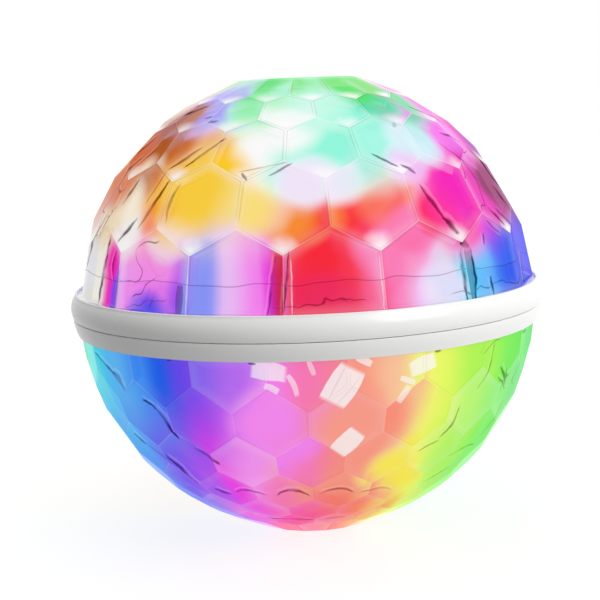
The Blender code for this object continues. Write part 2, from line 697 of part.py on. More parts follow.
def make_pinion(bench, holder, material, steel):
    """Pinion on the motor's shaft, in mesh with the ring gear on +X."""
    points = tooth_points(PINION_TEETH, PINION_PITCH_RADIUS, PINION_PITCH_RADIUS - DEDENDUM,
                          PINION_PITCH_RADIUS + ADDENDUM, -GEAR_BACKLASH / 2, PINION_FLANK_STEPS)
    bore = on_circle(SHAFT_RADIUS + FIT_GAP, evenly(SMALL_SEGMENTS))
    mesh = plate_mesh("pinion", [points, bore], PINION_FOOT, PINION_FOOT + PINION_HEIGHT)
    bench.add("pinion", mesh, material, holder)
    foot = MOTOR_TOP - MOTOR_SHAFT_DEPTH + FIT_GAP
    shaft = cylinder_mesh("motor_shaft", SHAFT_RADIUS, foot, PINION_FOOT + PINION_HEIGHT, SMALL_SEGMENTS)
    bench.add("motor_shaft", shaft, steel, holder)


def motor_screw_places():
    """Places of the two motor screws, beside the can."""
    return [(MOTOR_PLACE, side * MOTOR_SCREW_PLACE) for side in (-1, 1)]


def cradle_screw_places():
    """Places of the two cradle screws, beside the cell at opposite corners."""
    reach_x = CRADLE_HALF_WIDTH + CRADLE_EAR / 2
    reach_y = CELL_LENGTH * CRADLE_EAR_PLACE_SHARE
    return [(CELL_PLACE + side * reach_x, side * reach_y) for side in (-1, 1)]


def control_screw_places():
    """Places of the two screws of the control board, near its inner corners."""
    radius = CONTROL_INNER_RADIUS + BOARD_SCREW_EDGE
    spread = CONTROL_HALF_SPREAD - BOARD_SCREW_EDGE / CONTROL_INNER_RADIUS
    return on_circle(radius, [CONTROL_AZIMUTH - spread, CONTROL_AZIMUTH + spread])


def make_deck(bench, material):
    """Deck clamped between the lower belt and dome, with pillars for the keeper plate."""
    edge = RIM_BORE - FIT_GAP
    outline = [(0, DECK_TOP), (RIM_RADIUS, DECK_TOP), (RIM_RADIUS, DECK_FLANGE_FOOT),
               (edge, DECK_FLANGE_FOOT), (edge, DECK_FOOT), (0, DECK_FOOT)]
    deck = bench.add("deck", turned_mesh("deck", outline), material)
    pillars = on_circle(PILLAR_PLACE, PILLAR_AZIMUTHS)
    posts = holes_mesh("deck_pillars", pillars, PILLAR_RADIUS, DECK_TOP - DECK_THICKNESS / 2,
                       KEEPER_FOOT - FIT_GAP)
    combine(deck, bench.tool("deck_pillars", posts), "UNION")
    drilled = pillars + motor_screw_places() + cradle_screw_places() + control_screw_places()
    drilled += on_circle(POST_CIRCLE, POST_AZIMUTHS)
    holes = holes_mesh("deck_holes", drilled, HOLE_RADIUS, DECK_FOOT - CUT_OVERRUN,
                       KEEPER_FOOT + CUT_OVERRUN)
    combine(deck, bench.tool("deck_holes", holes), "DIFFERENCE")
    wires = cylinder_mesh("deck_wire_hole", WIRE_HOLE_RADIUS, DECK_FOOT - CUT_OVERRUN,
                          DECK_TOP + CUT_OVERRUN)
    combine(deck, bench.tool("deck_wire_hole", wires), "DIFFERENCE")
    seat = cylinder_mesh("deck_bush_hole", SHAFT_RADIUS + FIT_GAP + BUSH_WALL + FIT_GAP,
                         DECK_FOOT - CUT_OVERRUN, DECK_TOP + CUT_OVERRUN)
    combine(deck, bench.tool("deck_bush_hole", seat, place=(PINION_PLACE, 0, 0)), "DIFFERENCE")
    return deck


def open_deck_and_dome(bench, deck, dome, station, tag, half_width, inner):
    """Cut a notch through the deck's edge and the lower dome's rim behind the belt."""
    low = (inner, -half_width, LOWER_BELT_FOOT + SOCKET_GAP)
    high = (RIM_RADIUS + CUT_OVERRUN, half_width, DECK_TOP + CUT_OVERRUN)
    notch = bench.tool(tag + "_notch", block_mesh(tag + "_notch", low, high), station)
    combine(deck, notch, "DIFFERENCE")
    combine(dome, notch, "DIFFERENCE")


def upper_board_screw_places():
    """Places of the bosses and screws that carry the upper light board."""
    return on_circle(UPPER_BOARD_SCREW_CIRCLE, evenly(BOARD_SCREW_COUNT, math.pi / 2))


def make_keeper(bench, material):
    """Round plate over the ring gear that stops the upper half from lifting off."""
    outline = ring_outline(WIRE_HOLE_RADIUS, KEEPER_RADIUS, KEEPER_FOOT, KEEPER_TOP)
    keeper = bench.add("keeper_plate", turned_mesh("keeper_plate", outline), material)
    bosses = upper_board_screw_places()
    stand = holes_mesh("keeper_bosses", bosses, POST_RADIUS, KEEPER_TOP - KEEPER_THICKNESS / 2,
                       UPPER_BOARD_FOOT - FIT_GAP)
    combine(keeper, bench.tool("keeper_bosses", stand), "UNION")
    drilled = bosses + on_circle(PILLAR_PLACE, PILLAR_AZIMUTHS)
    holes = holes_mesh("keeper_holes", drilled, HOLE_RADIUS, KEEPER_FOOT - CUT_OVERRUN,
                       UPPER_BOARD_FOOT + CUT_OVERRUN)
    combine(keeper, bench.tool("keeper_holes", holes), "DIFFERENCE")


def led_mesh():
    """One light: a square package with a round lens, standing on height zero."""
    half = LED_SIZE / 2
    body_height = LED_HEIGHT * LED_BODY_SHARE
    package = block_mesh("led", (-half, -half, 0), (half, half, body_height), LED_CORNER, 2)
    bm = bmesh.new()
    bm.from_mesh(package)
    top = max(bm.faces, key=lambda face: face.calc_center_median().z)
    bmesh.ops.inset_individual(bm, faces=[top], thickness=half - LED_LENS_RADIUS)
    bmesh.ops.translate(bm, vec=(0, 0, LED_HEIGHT - body_height), verts=top.verts)
    bmesh.ops.scale(bm, vec=(LED_LENS_TAPER, LED_LENS_TAPER, 1), verts=top.verts)
    return mesh_from(bm, "led")


def make_light_board(bench, name, radius, foot, screws, material):
    """A round light board with a hole for the lead and holes for its screws."""
    top = foot + BOARD_THICKNESS
    outline = ring_outline(BOARD_HOLE_RADIUS, radius, foot, top)
    board = bench.add(name, turned_mesh(name, outline), material)
    holes = holes_mesh(name + "_holes", screws, HOLE_RADIUS, foot - CUT_OVERRUN, top + CUT_OVERRUN)
    combine(board, bench.tool(name + "_holes", holes), "DIFFERENCE")


def cap_mesh(name, radius, height):
    """A thin low dome, closed on top and open at its foot."""
    outside, inside = [(0, height)], [(0, height - CAP_WALL)]
    for step in range(1, CAP_STEPS + 1):
        angle = math.pi / 2 * (1 - step / CAP_STEPS)
        outside.append((radius * math.cos(angle), height * math.sin(angle)))
        inside.append(((radius - CAP_WALL) * math.cos(angle), (height - CAP_WALL) * math.sin(angle)))
    return turned_mesh(name, outside + inside[::-1], CAN_SEGMENTS)


def make_upper_lights(bench, finishes):
    """Board, LEDs and frosted cap that stand on the keeper plate and shine up."""
    screws = upper_board_screw_places()
    make_light_board(bench, "upper_light_board", UPPER_BOARD_RADIUS, UPPER_BOARD_FOOT, screws,
                     finishes["board"])
    face = UPPER_BOARD_TOP + SOCKET_GAP
    add_copies(bench, "upper_led", led_mesh(), on_circle(UPPER_LED_CIRCLE, evenly(UPPER_LED_COUNT)),
               face, finishes["led"])
    bench.add("upper_light_cap", cap_mesh("upper_light_cap", UPPER_CAP_RADIUS, UPPER_CAP_HEIGHT),
              finishes["frosted"], place=(0, 0, face + SOCKET_GAP))
    add_screws(bench, "upper_board_screw", screws, UPPER_BOARD_TOP + FIT_GAP,
               UPPER_BOARD_SCREW_LENGTH, finishes["screw"])


def make_lower_lights(bench, finishes):
    """Board, LEDs and frosted cap that hang under the reflector bowl and shine down."""
    screws = on_circle(POST_CIRCLE, POST_AZIMUTHS)
    make_light_board(bench, "lower_light_board", LOWER_BOARD_RADIUS, LOWER_BOARD_FOOT, screws,
                     finishes["board"])
    face = LOWER_BOARD_FOOT - SOCKET_GAP
    add_copies(bench, "lower_led", led_mesh(), on_circle(LOWER_LED_CIRCLE, evenly(LOWER_LED_COUNT)),
               face, finishes["led"], True)
    cap = cap_mesh("lower_light_cap", LOWER_CAP_RADIUS, LOWER_CAP_HEIGHT)
    cap.transform(Matrix.Rotation(math.pi, 4, "X"))
    bench.add("lower_light_cap", cap, finishes["frosted"], place=(0, 0, face - SOCKET_GAP))
    add_screws(bench, "lower_board_screw", screws, LOWER_BOARD_FOOT - FIT_GAP, SCREW_LENGTH,
               finishes["screw"], True)


def make_bowl_and_posts(bench, white, steel, screw):
    """Posts under the deck and the reflector bowl that they carry."""
    places = on_circle(POST_CIRCLE, POST_AZIMUTHS)
    head = DECK_FOOT - FIT_GAP
    ring = ring_outline(POST_CIRCLE - POST_RADIUS, POST_CIRCLE + POST_RADIUS,
                        head - POST_RING_THICKNESS, head)
    posts = bench.add("post_frame", turned_mesh("post_frame", ring, SMALL_SEGMENTS), steel)
    legs = holes_mesh("frame_legs", places, POST_RADIUS, BOWL_FLOOR_TOP + FIT_GAP,
                      head - POST_RING_THICKNESS / 2)
    combine(posts, bench.tool("frame_legs", legs), "UNION")
    top_bore = holes_mesh("post_top_bores", places, HOLE_RADIUS, DECK_FOOT - SCREW_LENGTH, DECK_FOOT)
    combine(posts, bench.tool("post_top_bores", top_bore), "DIFFERENCE")
    foot_bore = holes_mesh("post_foot_bores", places, HOLE_RADIUS, BOWL_FLOOR_TOP,
                           BOWL_FLOOR_TOP + SCREW_LENGTH)
    combine(posts, bench.tool("post_foot_bores", foot_bore), "DIFFERENCE")
    add_screws(bench, "post_screw", places, DECK_TOP + SOCKET_GAP, SCREW_LENGTH, screw)
    bowl_body = turned_mesh("reflector_bowl", bowl_outline(), BOWL_SEGMENTS)
    bowl = bench.add("reflector_bowl", bowl_body, white)
    holes = holes_mesh("bowl_holes", places, HOLE_RADIUS, BOWL_FLOOR_FOOT - CUT_OVERRUN,
                       BOWL_FLOOR_TOP + CUT_OVERRUN)
    combine(bowl, bench.tool("bowl_holes", holes), "DIFFERENCE")


def bowl_outline():
    """Section of the reflector bowl: an ellipse that clears the motor, down to a flat floor."""
    last = math.asin((BOWL_FLOOR_DROP + BOWL_WALL) / BOWL_DEPTH)
    inner_last = math.asin(BOWL_FLOOR_DROP / BOWL_INNER_DEPTH)
    outside, inside = [], []
    for step in range(BOWL_STEPS + 1):
        outer_angle, inner_angle = last * step / BOWL_STEPS, inner_last * step / BOWL_STEPS
        outside.append((BOWL_RADIUS * math.cos(outer_angle),
                        -BOWL_RIM_DEPTH - BOWL_DEPTH * math.sin(outer_angle)))
        inside.append((BOWL_INNER_RADIUS * math.cos(inner_angle),
                       -BOWL_RIM_DEPTH - BOWL_INNER_DEPTH * math.sin(inner_angle)))
    floor = [(WIRE_HOLE_RADIUS, BOWL_FLOOR_FOOT), (WIRE_HOLE_RADIUS, BOWL_FLOOR_TOP)]
    return outside + floor + inside[::-1]


def make_motor(bench, steel, screw, brass):
    """Geared motor: a can with two ears under the deck, and the bush for its shaft."""
    holder = bench.empty("motor_middle", bench.ball, (MOTOR_PLACE, 0, 0))
    foot = MOTOR_TOP - MOTOR_HEIGHT
    can = cylinder_mesh("geared_motor", MOTOR_RADIUS, foot, MOTOR_TOP, CAN_SEGMENTS)
    motor = bench.add("geared_motor", can, steel, holder)
    half = MOTOR_EAR_WIDTH / 2
    ears = block_mesh("motor_ears", (-half, -MOTOR_EAR_REACH, MOTOR_TOP - MOTOR_EAR_THICKNESS),
                      (half, MOTOR_EAR_REACH, MOTOR_TOP), MOTOR_EAR_CORNER, 2)
    combine(motor, bench.tool("motor_ears", ears, holder), "UNION")
    places = [(x - MOTOR_PLACE, y) for x, y in motor_screw_places()]
    holes = holes_mesh("motor_ear_holes", places, HOLE_RADIUS,
                       MOTOR_TOP - MOTOR_EAR_THICKNESS - CUT_OVERRUN, MOTOR_TOP + CUT_OVERRUN)
    combine(motor, bench.tool("motor_ear_holes", holes, holder), "DIFFERENCE")
    bore = cylinder_mesh("motor_bore", SHAFT_RADIUS + FIT_GAP, MOTOR_TOP - MOTOR_SHAFT_DEPTH,
                         MOTOR_TOP + CUT_OVERRUN)
    combine(motor, bench.tool("motor_bore", bore, place=(PINION_PLACE, 0, 0)), "DIFFERENCE")
    seat = MOTOR_TOP - MOTOR_EAR_THICKNESS - SOCKET_GAP
    length = DECK_TOP - seat - SCREW_RADIUS
    add_screws(bench, "motor_screw", motor_screw_places(), seat, length, screw, True)
    inner = SHAFT_RADIUS + FIT_GAP
    bush_outline = ring_outline(inner, inner + BUSH_WALL, DECK_FOOT, DECK_TOP)
    bench.add("shaft_bush", turned_mesh("shaft_bush", bush_outline, SMALL_SEGMENTS), brass,
              place=(PINION_PLACE, 0, 0))


def trough_points(radius, rise):
    """Half a circle below zero with straight sides up to a rise, as (x, z) points."""
    return [(-radius, rise)] + arc(radius, math.pi, 2 * math.pi, TROUGH_STEPS) + [(radius, rise)]


def lay_along_y(mesh):
    """Stand a plate's outline up in X and Z, so that its thickness runs along Y."""
    mesh.transform(Matrix.Rotation(math.pi / 2, 4, "X"))
    return mesh


def make_cell(bench, finishes):
    """Rechargeable cell in a trough that hangs from the deck on two ears."""
    centre = bench.empty("cell_middle", bench.ball, (CELL_PLACE, 0, CELL_HEIGHT))
    half = CELL_LENGTH / 2
    outline = [(0, half), (CELL_NUB_RADIUS, half), (CELL_NUB_RADIUS, half - CELL_NUB_HEIGHT),
               (CELL_RADIUS, half - CELL_NUB_HEIGHT), (CELL_RADIUS, -half), (0, -half)]
    cell = turned_mesh("battery_cell", outline, CAN_SEGMENTS)
    bench.add("battery_cell", lay_along_y(cell), finishes["cell"], centre)
    rise = DECK_FOOT - FIT_GAP - CELL_HEIGHT
    inner, outer = CELL_RADIUS + FIT_GAP, CRADLE_HALF_WIDTH
    reach = half + FIT_GAP
    body = lay_along_y(plate_mesh("battery_cradle", [trough_points(outer, rise)],
                                  -reach - CRADLE_WALL, reach + CRADLE_WALL))
    cradle = bench.add("battery_cradle", body, finishes["white"], centre)
    ear_places = [(x - CELL_PLACE, y) for x, y in cradle_screw_places()]
    foot = rise - CRADLE_EAR_THICKNESS
    for number, (x, y) in enumerate(ear_places):
        near, far = math.copysign(inner, x), math.copysign(outer + CRADLE_EAR, x)
        ear = block_mesh("cradle_ear", (min(near, far), y - CRADLE_EAR_WIDTH / 2, foot),
                         (max(near, far), y + CRADLE_EAR_WIDTH / 2, rise))
        combine(cradle, bench.tool("cradle_ear_%d" % number, ear, centre), "UNION")
    room_outline = trough_points(inner, rise + CUT_OVERRUN)
    room = lay_along_y(plate_mesh("cradle_room", [room_outline], -reach, reach))
    combine(cradle, bench.tool("cradle_room", room, centre), "DIFFERENCE")
    holes = holes_mesh("cradle_holes", ear_places, HOLE_RADIUS, foot - CUT_OVERRUN, rise + CUT_OVERRUN)
    combine(cradle, bench.tool("cradle_holes", holes, centre), "DIFFERENCE")
    seat = CELL_HEIGHT + foot - SOCKET_GAP
    add_screws(bench, "cradle_screw", cradle_screw_places(), seat, DECK_TOP - seat - SCREW_RADIUS,
               finishes["screw"], True)
    pad_half, pad_foot = half * PAD_LENGTH_SHARE, CELL_RADIUS + FIT_GAP
    pad = block_mesh("battery_pad", (-PAD_WIDTH / 2, -pad_half, pad_foot),
                     (PAD_WIDTH / 2, pad_half, pad_foot + PAD_THICKNESS), PAD_CORNER, 2)
    bench.add("battery_pad", pad, finishes["foam"], centre)


def make_control_board(bench, finishes):
    """Board under the deck's back edge with its chip, microphone and screws."""
    start, finish = CONTROL_AZIMUTH - CONTROL_HALF_SPREAD, CONTROL_AZIMUTH + CONTROL_HALF_SPREAD
    outline = arc(CONTROL_OUTER_RADIUS, start, finish, BOARD_OUTER_STEPS)
    outline += arc(CONTROL_INNER_RADIUS, finish, start, BOARD_INNER_STEPS)
    plate = plate_mesh("control_board", [outline], CONTROL_FOOT, CONTROL_TOP)
    board = bench.add("control_board", plate, finishes["board"])
    places = control_screw_places()
    holes = holes_mesh("control_holes", places, HOLE_RADIUS, CONTROL_FOOT - CUT_OVERRUN,
                       CONTROL_TOP + CUT_OVERRUN)
    combine(board, bench.tool("control_holes", holes), "DIFFERENCE")
    seat = CONTROL_FOOT - SOCKET_GAP
    add_screws(bench, "control_screw", places, seat, DECK_TOP - seat - SCREW_RADIUS,
               finishes["screw"], True)
    half = CHIP_SIZE / 2
    chip = block_mesh("control_chip", (-half, -half, -CHIP_HEIGHT), (half, half, 0), CHIP_CORNER, 2)
    middle = CONTROL_INNER_RADIUS + CHIP_SIZE
    bench.add("control_chip", chip, finishes["chip"], bench.station("chip_side", CONTROL_AZIMUTH),
              (middle, 0, seat))
    can = cylinder_mesh("microphone", MICROPHONE_RADIUS, seat - MICROPHONE_HEIGHT, seat, SMALL_SEGMENTS)
    microphone_azimuth = CONTROL_AZIMUTH + CONTROL_HALF_SPREAD * MICROPHONE_PLACE_SHARE
    bench.add("microphone", can, finishes["steel"],
              bench.station("microphone_side", microphone_azimuth), (middle, 0, 0))


def belt_outside(height):
    """Radius of the lower belt's outside at a height."""
    points = lower_belt_outline()[:3]
    for (outer, top), (inner, foot) in zip(points, points[1:]):
        if foot <= height <= top:
            return inner + (outer - inner) * (height - foot) / (top - foot)
    return points[-1][0]


def make_socket(bench, station, belt, finishes):
    """Charging socket in a pocket of the lower belt, with the tongue in its mouth."""
    front = belt_outside(SOCKET_MIDDLE) - SOCKET_SET_BACK
    half_width, half_height = SOCKET_WIDTH / 2, SOCKET_HEIGHT / 2
    low = (front - SOCKET_LENGTH, -half_width, SOCKET_MIDDLE - half_height)
    high = (front, half_width, SOCKET_MIDDLE + half_height)
    corner = SOCKET_CORNER
    socket = bench.add("charging_socket", block_mesh("charging_socket", low, high, corner, 0),
                       finishes["steel"], station)
    mouth_low = (front - SOCKET_MOUTH_DEPTH, SOCKET_WALL - half_width,
                 SOCKET_MIDDLE - half_height + SOCKET_WALL)
    mouth_high = (front + CUT_OVERRUN, half_width - SOCKET_WALL,
                  SOCKET_MIDDLE + half_height - SOCKET_WALL)
    mouth = block_mesh("socket_mouth", mouth_low, mouth_high, corner - SOCKET_WALL / 2, 0)
    combine(socket, bench.tool("socket_mouth", mouth, station), "DIFFERENCE")
    back = front - SOCKET_MOUTH_DEPTH + SOCKET_GAP
    half_tongue, half_thick = TONGUE_WIDTH / 2, TONGUE_THICKNESS / 2
    tongue = block_mesh("socket_tongue", (back, -half_tongue, SOCKET_MIDDLE - half_thick),
                        (back + TONGUE_LENGTH, half_tongue, SOCKET_MIDDLE + half_thick))
    bench.add("socket_tongue", tongue, finishes["chip"], station)
    pocket_low = (RIM_BORE - CUT_OVERRUN, low[1] - SOCKET_GAP, low[2] - SOCKET_GAP)
    pocket_high = (BELT_RADIUS + CUT_OVERRUN, high[1] + SOCKET_GAP, high[2] + SOCKET_GAP)
    pocket = block_mesh("socket_pocket", pocket_low, pocket_high, corner, 0)
    combine(belt, bench.tool("socket_pocket", pocket, station), "DIFFERENCE")


def make_button(bench, station, belt, finishes):
    """Power button in a window of the lower belt, the switch behind it and its plunger."""
    front = belt_outside(SWITCH_MIDDLE) + BUTTON_STANDS_OUT
    half_width, half_height = BUTTON_WIDTH / 2, BUTTON_HEIGHT / 2
    foot, head = SWITCH_MIDDLE - half_height, SWITCH_MIDDLE + half_height
    flange_back = RIM_RADIUS - BUTTON_FLANGE_THICKNESS
    joined = RIM_RADIUS - BUTTON_FLANGE_THICKNESS / 2
    cap = block_mesh("power_button", (joined, -half_width, foot), (front, half_width, head),
                     BUTTON_CORNER, 0)
    button = bench.add("power_button", cap, finishes["button"], station)
    half_flange = half_width + BUTTON_FLANGE_MARGIN
    flange = block_mesh("button_flange", (flange_back, -half_flange, foot),
                        (RIM_RADIUS, half_flange, head), BUTTON_CORNER, 0)
    combine(button, bench.tool("button_flange", flange, station), "UNION")
    switch_front = RIM_BORE - BUTTON_TRAVEL - FIT_GAP - STEM_WIDTH / 2
    plunger_front = switch_front + PLUNGER_LENGTH / 2
    stem = block_mesh("button_stem",
                      (plunger_front + SOCKET_GAP, -STEM_WIDTH / 2, SWITCH_MIDDLE - half_height / 2),
                      (joined, STEM_WIDTH / 2, SWITCH_MIDDLE + half_height / 2))
    combine(button, bench.tool("button_stem", stem, station), "UNION")
    half_switch = SWITCH_WIDTH / 2
    body = block_mesh("tact_switch",
                      (switch_front - SWITCH_LENGTH, -half_switch, SWITCH_MIDDLE - SWITCH_HEIGHT / 2),
                      (switch_front, half_switch, SWITCH_MIDDLE + SWITCH_HEIGHT / 2))
    switch = bench.add("tact_switch", body, finishes["chip"], station)
    bore_depth = PLUNGER_LENGTH / 2 + BUTTON_TRAVEL + FIT_GAP
    bore = cylinder_mesh("plunger_bore", PLUNGER_RADIUS + SOCKET_GAP, -bore_depth, CUT_OVERRUN,
                         HOLE_SEGMENTS)
    bore.transform(Matrix.Rotation(math.pi / 2, 4, "Y"))
    place = (switch_front, 0, SWITCH_MIDDLE)
    combine(switch, bench.tool("plunger_bore", bore, station, place), "DIFFERENCE")
    plunger = cylinder_mesh("switch_plunger", PLUNGER_RADIUS, -PLUNGER_LENGTH / 2, PLUNGER_LENGTH / 2,
                            HOLE_SEGMENTS)
    plunger.transform(Matrix.Rotation(math.pi / 2, 4, "Y"))
    bench.add("switch_plunger", plunger, finishes["button"], station, place)
    half_window = half_width + SOCKET_GAP
    window_low = (RIM_RADIUS - CUT_OVERRUN, -half_window, foot - SOCKET_GAP)
    window_high = (BELT_RADIUS + CUT_OVERRUN, half_window, head + SOCKET_GAP)
    window = block_mesh("button_window", window_low, window_high, BUTTON_CORNER, 0)
    combine(belt, bench.tool("button_window", window, station), "DIFFERENCE")


def make_lead(bench, finishes):
    """Lead from the control board through the deck up to the upper light board."""
    rise = UPPER_BOARD_FOOT - FIT_GAP
    under = DECK_FOOT - FIT_GAP - POST_RING_THICKNESS - 3 * LEAD_RADIUS
    start_y = CONTROL_INNER_RADIUS - 2 * FIT_GAP
    run = [(0, start_y, CONTROL_TOP - BOARD_THICKNESS / 2), (0, start_y - POST_RADIUS, under),
           (0, POST_CIRCLE + POST_RADIUS, under), (0, POST_CIRCLE - POST_RADIUS, under),
           (0, WIRE_HOLE_RADIUS, under), (0, LEAD_RADIUS, DECK_FOOT), (0, 0, DECK_TOP), (0, 0, rise)]
    bench.add("light_lead", tube_mesh("light_lead", run, LEAD_RADIUS), finishes["lead"])


def round_off(part):
    """Shade curved faces smooth and keep the sharp edges."""
    part.data.shade_smooth()
    part.data.set_sharp_from_angle(angle=SHARP_ANGLE)


def build():
    """Build the whole ball."""
    clear_scene()
    bench = Bench()
    finishes = {
        "upper_dome": plastic("clear_upper_dome", (0.93, 0.45, 0.62), 0.05, clear=0.5),
        "lower_dome": plastic("clear_lower_dome", (0.86, 0.52, 0.72), 0.05, clear=0.5),
        "upper_belt": plastic("white_upper_belt", (0.86, 0.86, 0.88), 0.18),
        "lower_belt": plastic("white_lower_belt", (0.86, 0.86, 0.88), 0.18),
        "glide": plastic("glide_ring_white", (0.90, 0.90, 0.86), 0.3),
        "gear": plastic("gear_acetal", (0.88, 0.87, 0.82), 0.35),
        "pinion": plastic("pinion_acetal", (0.80, 0.79, 0.74), 0.35),
        "white": plastic("white_inner_plastic", (0.88, 0.88, 0.88), 0.45),
        "board": plastic("white_board", (0.80, 0.84, 0.80), 0.4),
        "led": plastic("led_package", (0.92, 0.90, 0.78), 0.3),
        "frosted": plastic("frosted_cap", (0.95, 0.95, 0.97), 0.5, clear=0.4),
        "steel": plastic("bright_steel", (0.62, 0.63, 0.65), 0.3, 1.0),
        "screw": plastic("screw_steel", (0.45, 0.45, 0.47), 0.35, 1.0),
        "brass": plastic("bush_brass", (0.75, 0.58, 0.30), 0.3, 1.0),
        "cell": plastic("cell_sleeve", (0.15, 0.38, 0.62), 0.4),
        "foam": plastic("pad_foam", (0.16, 0.16, 0.17), 0.9),
        "chip": plastic("black_moulding", (0.03, 0.03, 0.03), 0.4),
        "button": plastic("button_white", (0.82, 0.82, 0.84), 0.25),
        "lead": plastic("lead_sleeve", (0.65, 0.10, 0.08), 0.5),
    }
    upper = bench.station("upper_half", 0.0)
    under = bench.station("lower_half", 0.0)
    under.rotation_euler = (math.pi, 0, 0)
    make_dome(bench, "upper_dome", finishes["upper_dome"], UPPER_CUT, UPPER_RIM_FOOT, UPPER_SHOULDER,
              upper)
    lower_dome = make_dome(bench, "lower_dome", finishes["lower_dome"], LOWER_CUT, LOWER_RIM_DEPTH,
                           LOWER_SHOULDER_DEPTH, under)
    lower_belt = make_belt(bench, finishes)
    make_ring_gear(bench, finishes["gear"])
    pinion_axis = bench.empty("pinion_axis", bench.ball, (PINION_PLACE, 0, 0))
    make_pinion(bench, pinion_axis, finishes["pinion"], finishes["steel"])
    deck = make_deck(bench, finishes["white"])
    socket_side = bench.station("socket_side", SOCKET_AZIMUTH)
    button_side = bench.station("button_side", BUTTON_AZIMUTH)
    open_deck_and_dome(bench, deck, lower_dome, socket_side, "socket",
                       SOCKET_WIDTH / 2 + FIT_GAP, RIM_BORE - SOCKET_LENGTH / 2)
    open_deck_and_dome(bench, deck, lower_dome, button_side, "button",
                       BUTTON_WIDTH / 2 + BUTTON_FLANGE_MARGIN + FIT_GAP, RIM_BORE - SWITCH_LENGTH * 2)
    make_keeper(bench, finishes["white"])
    add_screws(bench, "keeper_screw", on_circle(PILLAR_PLACE, PILLAR_AZIMUTHS),
               KEEPER_TOP + SOCKET_GAP, SCREW_LENGTH, finishes["screw"])
    make_upper_lights(bench, finishes)
    make_lower_lights(bench, finishes)
    make_bowl_and_posts(bench, finishes["white"], finishes["steel"], finishes["screw"])
    make_motor(bench, finishes["steel"], finishes["screw"], finishes["brass"])
    make_cell(bench, finishes)
    make_control_board(bench, finishes)
    make_socket(bench, socket_side, lower_belt, finishes)
    make_button(bench, button_side, lower_belt, finishes)
    make_lead(bench, finishes)
    for part in bench.parts.objects:
        if part.type == "MESH":
            round_off(part)


build()
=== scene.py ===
import logging
import math
import random
from dataclasses import dataclass, field
from enum import Enum
from typing import Sequence

import bmesh
import bpy
from mathutils import Matrix, Quaternion, Vector


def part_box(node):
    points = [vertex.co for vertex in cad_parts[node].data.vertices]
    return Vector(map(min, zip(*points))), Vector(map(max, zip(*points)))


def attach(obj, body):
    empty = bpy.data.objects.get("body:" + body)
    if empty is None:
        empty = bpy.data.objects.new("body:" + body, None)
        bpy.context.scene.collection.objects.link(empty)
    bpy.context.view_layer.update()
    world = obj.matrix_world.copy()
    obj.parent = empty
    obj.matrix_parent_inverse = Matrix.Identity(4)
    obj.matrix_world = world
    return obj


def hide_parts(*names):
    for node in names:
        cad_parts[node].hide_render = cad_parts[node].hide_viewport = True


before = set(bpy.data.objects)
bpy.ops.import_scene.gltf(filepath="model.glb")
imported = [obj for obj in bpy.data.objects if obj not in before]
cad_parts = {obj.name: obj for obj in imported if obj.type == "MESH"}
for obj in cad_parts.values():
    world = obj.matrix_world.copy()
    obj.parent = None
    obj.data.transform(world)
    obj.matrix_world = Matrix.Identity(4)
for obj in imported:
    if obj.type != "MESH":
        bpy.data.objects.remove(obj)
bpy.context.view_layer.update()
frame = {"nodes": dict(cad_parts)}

log = logging.getLogger("disco_ball")

Colour = tuple[float, float, float, float]
Pair = tuple[float, float]
Socket = bpy.types.NodeSocket
Inputs = dict[int | str, object]

DOME_RADIUS = 0.0600
HALF_HEIGHT = 0.058415
CENTRE = Vector((0.0, 0.0, HALF_HEIGHT))
SHARP_ANGLE = math.radians(35)
NEARLY_ALIGNED = 0.9
FINE_DETAIL = 4.0


class Hue(Enum):
    """The colours that the lights throw on the domes."""

    CLEAR = "f2f0ea"
    WHITE = "fefdfd"
    SAND = "e6d2ac"
    BROWN = "844414"
    RUST = "c46008"
    ORANGE = "f88a2c"
    AMBER = "fab64a"
    GOLD = "ffd004"
    BUTTER = "fde07c"
    CREAM = "fcf2dc"
    PEACH = "fbc49c"
    SALMON = "fb9884"
    CORAL = "fb6c58"
    RED = "f8082a"
    CRIMSON = "e6145e"
    ROSE = "fb5c90"
    PINK = "fb84be"
    HOT_PINK = "fb3c9e"
    MAGENTA = "ee26b8"
    FUCHSIA = "e83ce0"
    ORCHID = "f68cf0"
    PURPLE = "b45af0"
    LILAC = "eec8f8"
    MIST = "f2e6fa"
    LAVENDER = "b4acf4"
    PERIWINKLE = "94a0fc"
    VIOLET = "7c50ec"
    INDIGO = "4038e8"
    BLUE = "1c56e4"
    AZURE = "4696f8"
    SKY = "6cc0f8"
    CYAN = "40d6f2"
    ICE = "d6f0f8"
    FROST = "c2f8e6"
    AQUA = "90f2d8"
    TEAL = "54c89c"
    MINT = "a2eeb8"
    GREEN = "54cc62"
    LEAF = "86ea64"
    LIME = "b2f25c"
    LEMON = "eefa70"
    YELLOW = "fceb58"
    MAROON = "4e0434"
    PLUM = "4c1474"
    FOREST = "1ea83c"

    @property
    def linear(self) -> Colour:
        """The hue as the shader's linear colour."""
        return linear(self.value)


class Pattern(Enum):
    """The noise patterns in the finishes, each as its scale and its detail."""

    BROAD_GRAIN = (60.0, 3.0)
    CLOUD = (42.0, 2.0)
    RAGGED_SIDE = (330.0, 2.0)
    STREAK_BREAKUP = (210.0, 1.0)
    CURL = (120.0, 0.5)
    CURL_PATCH = (90.0, 0.0)
    SMEAR = (70.0, 1.0)
    GLINT = (300.0, 1.0)
    POLISH = (160.0, 2.0)
    RIPPLE = (90.0, 1.0)
    CREASE_PATCH = (60.0, 0.0)


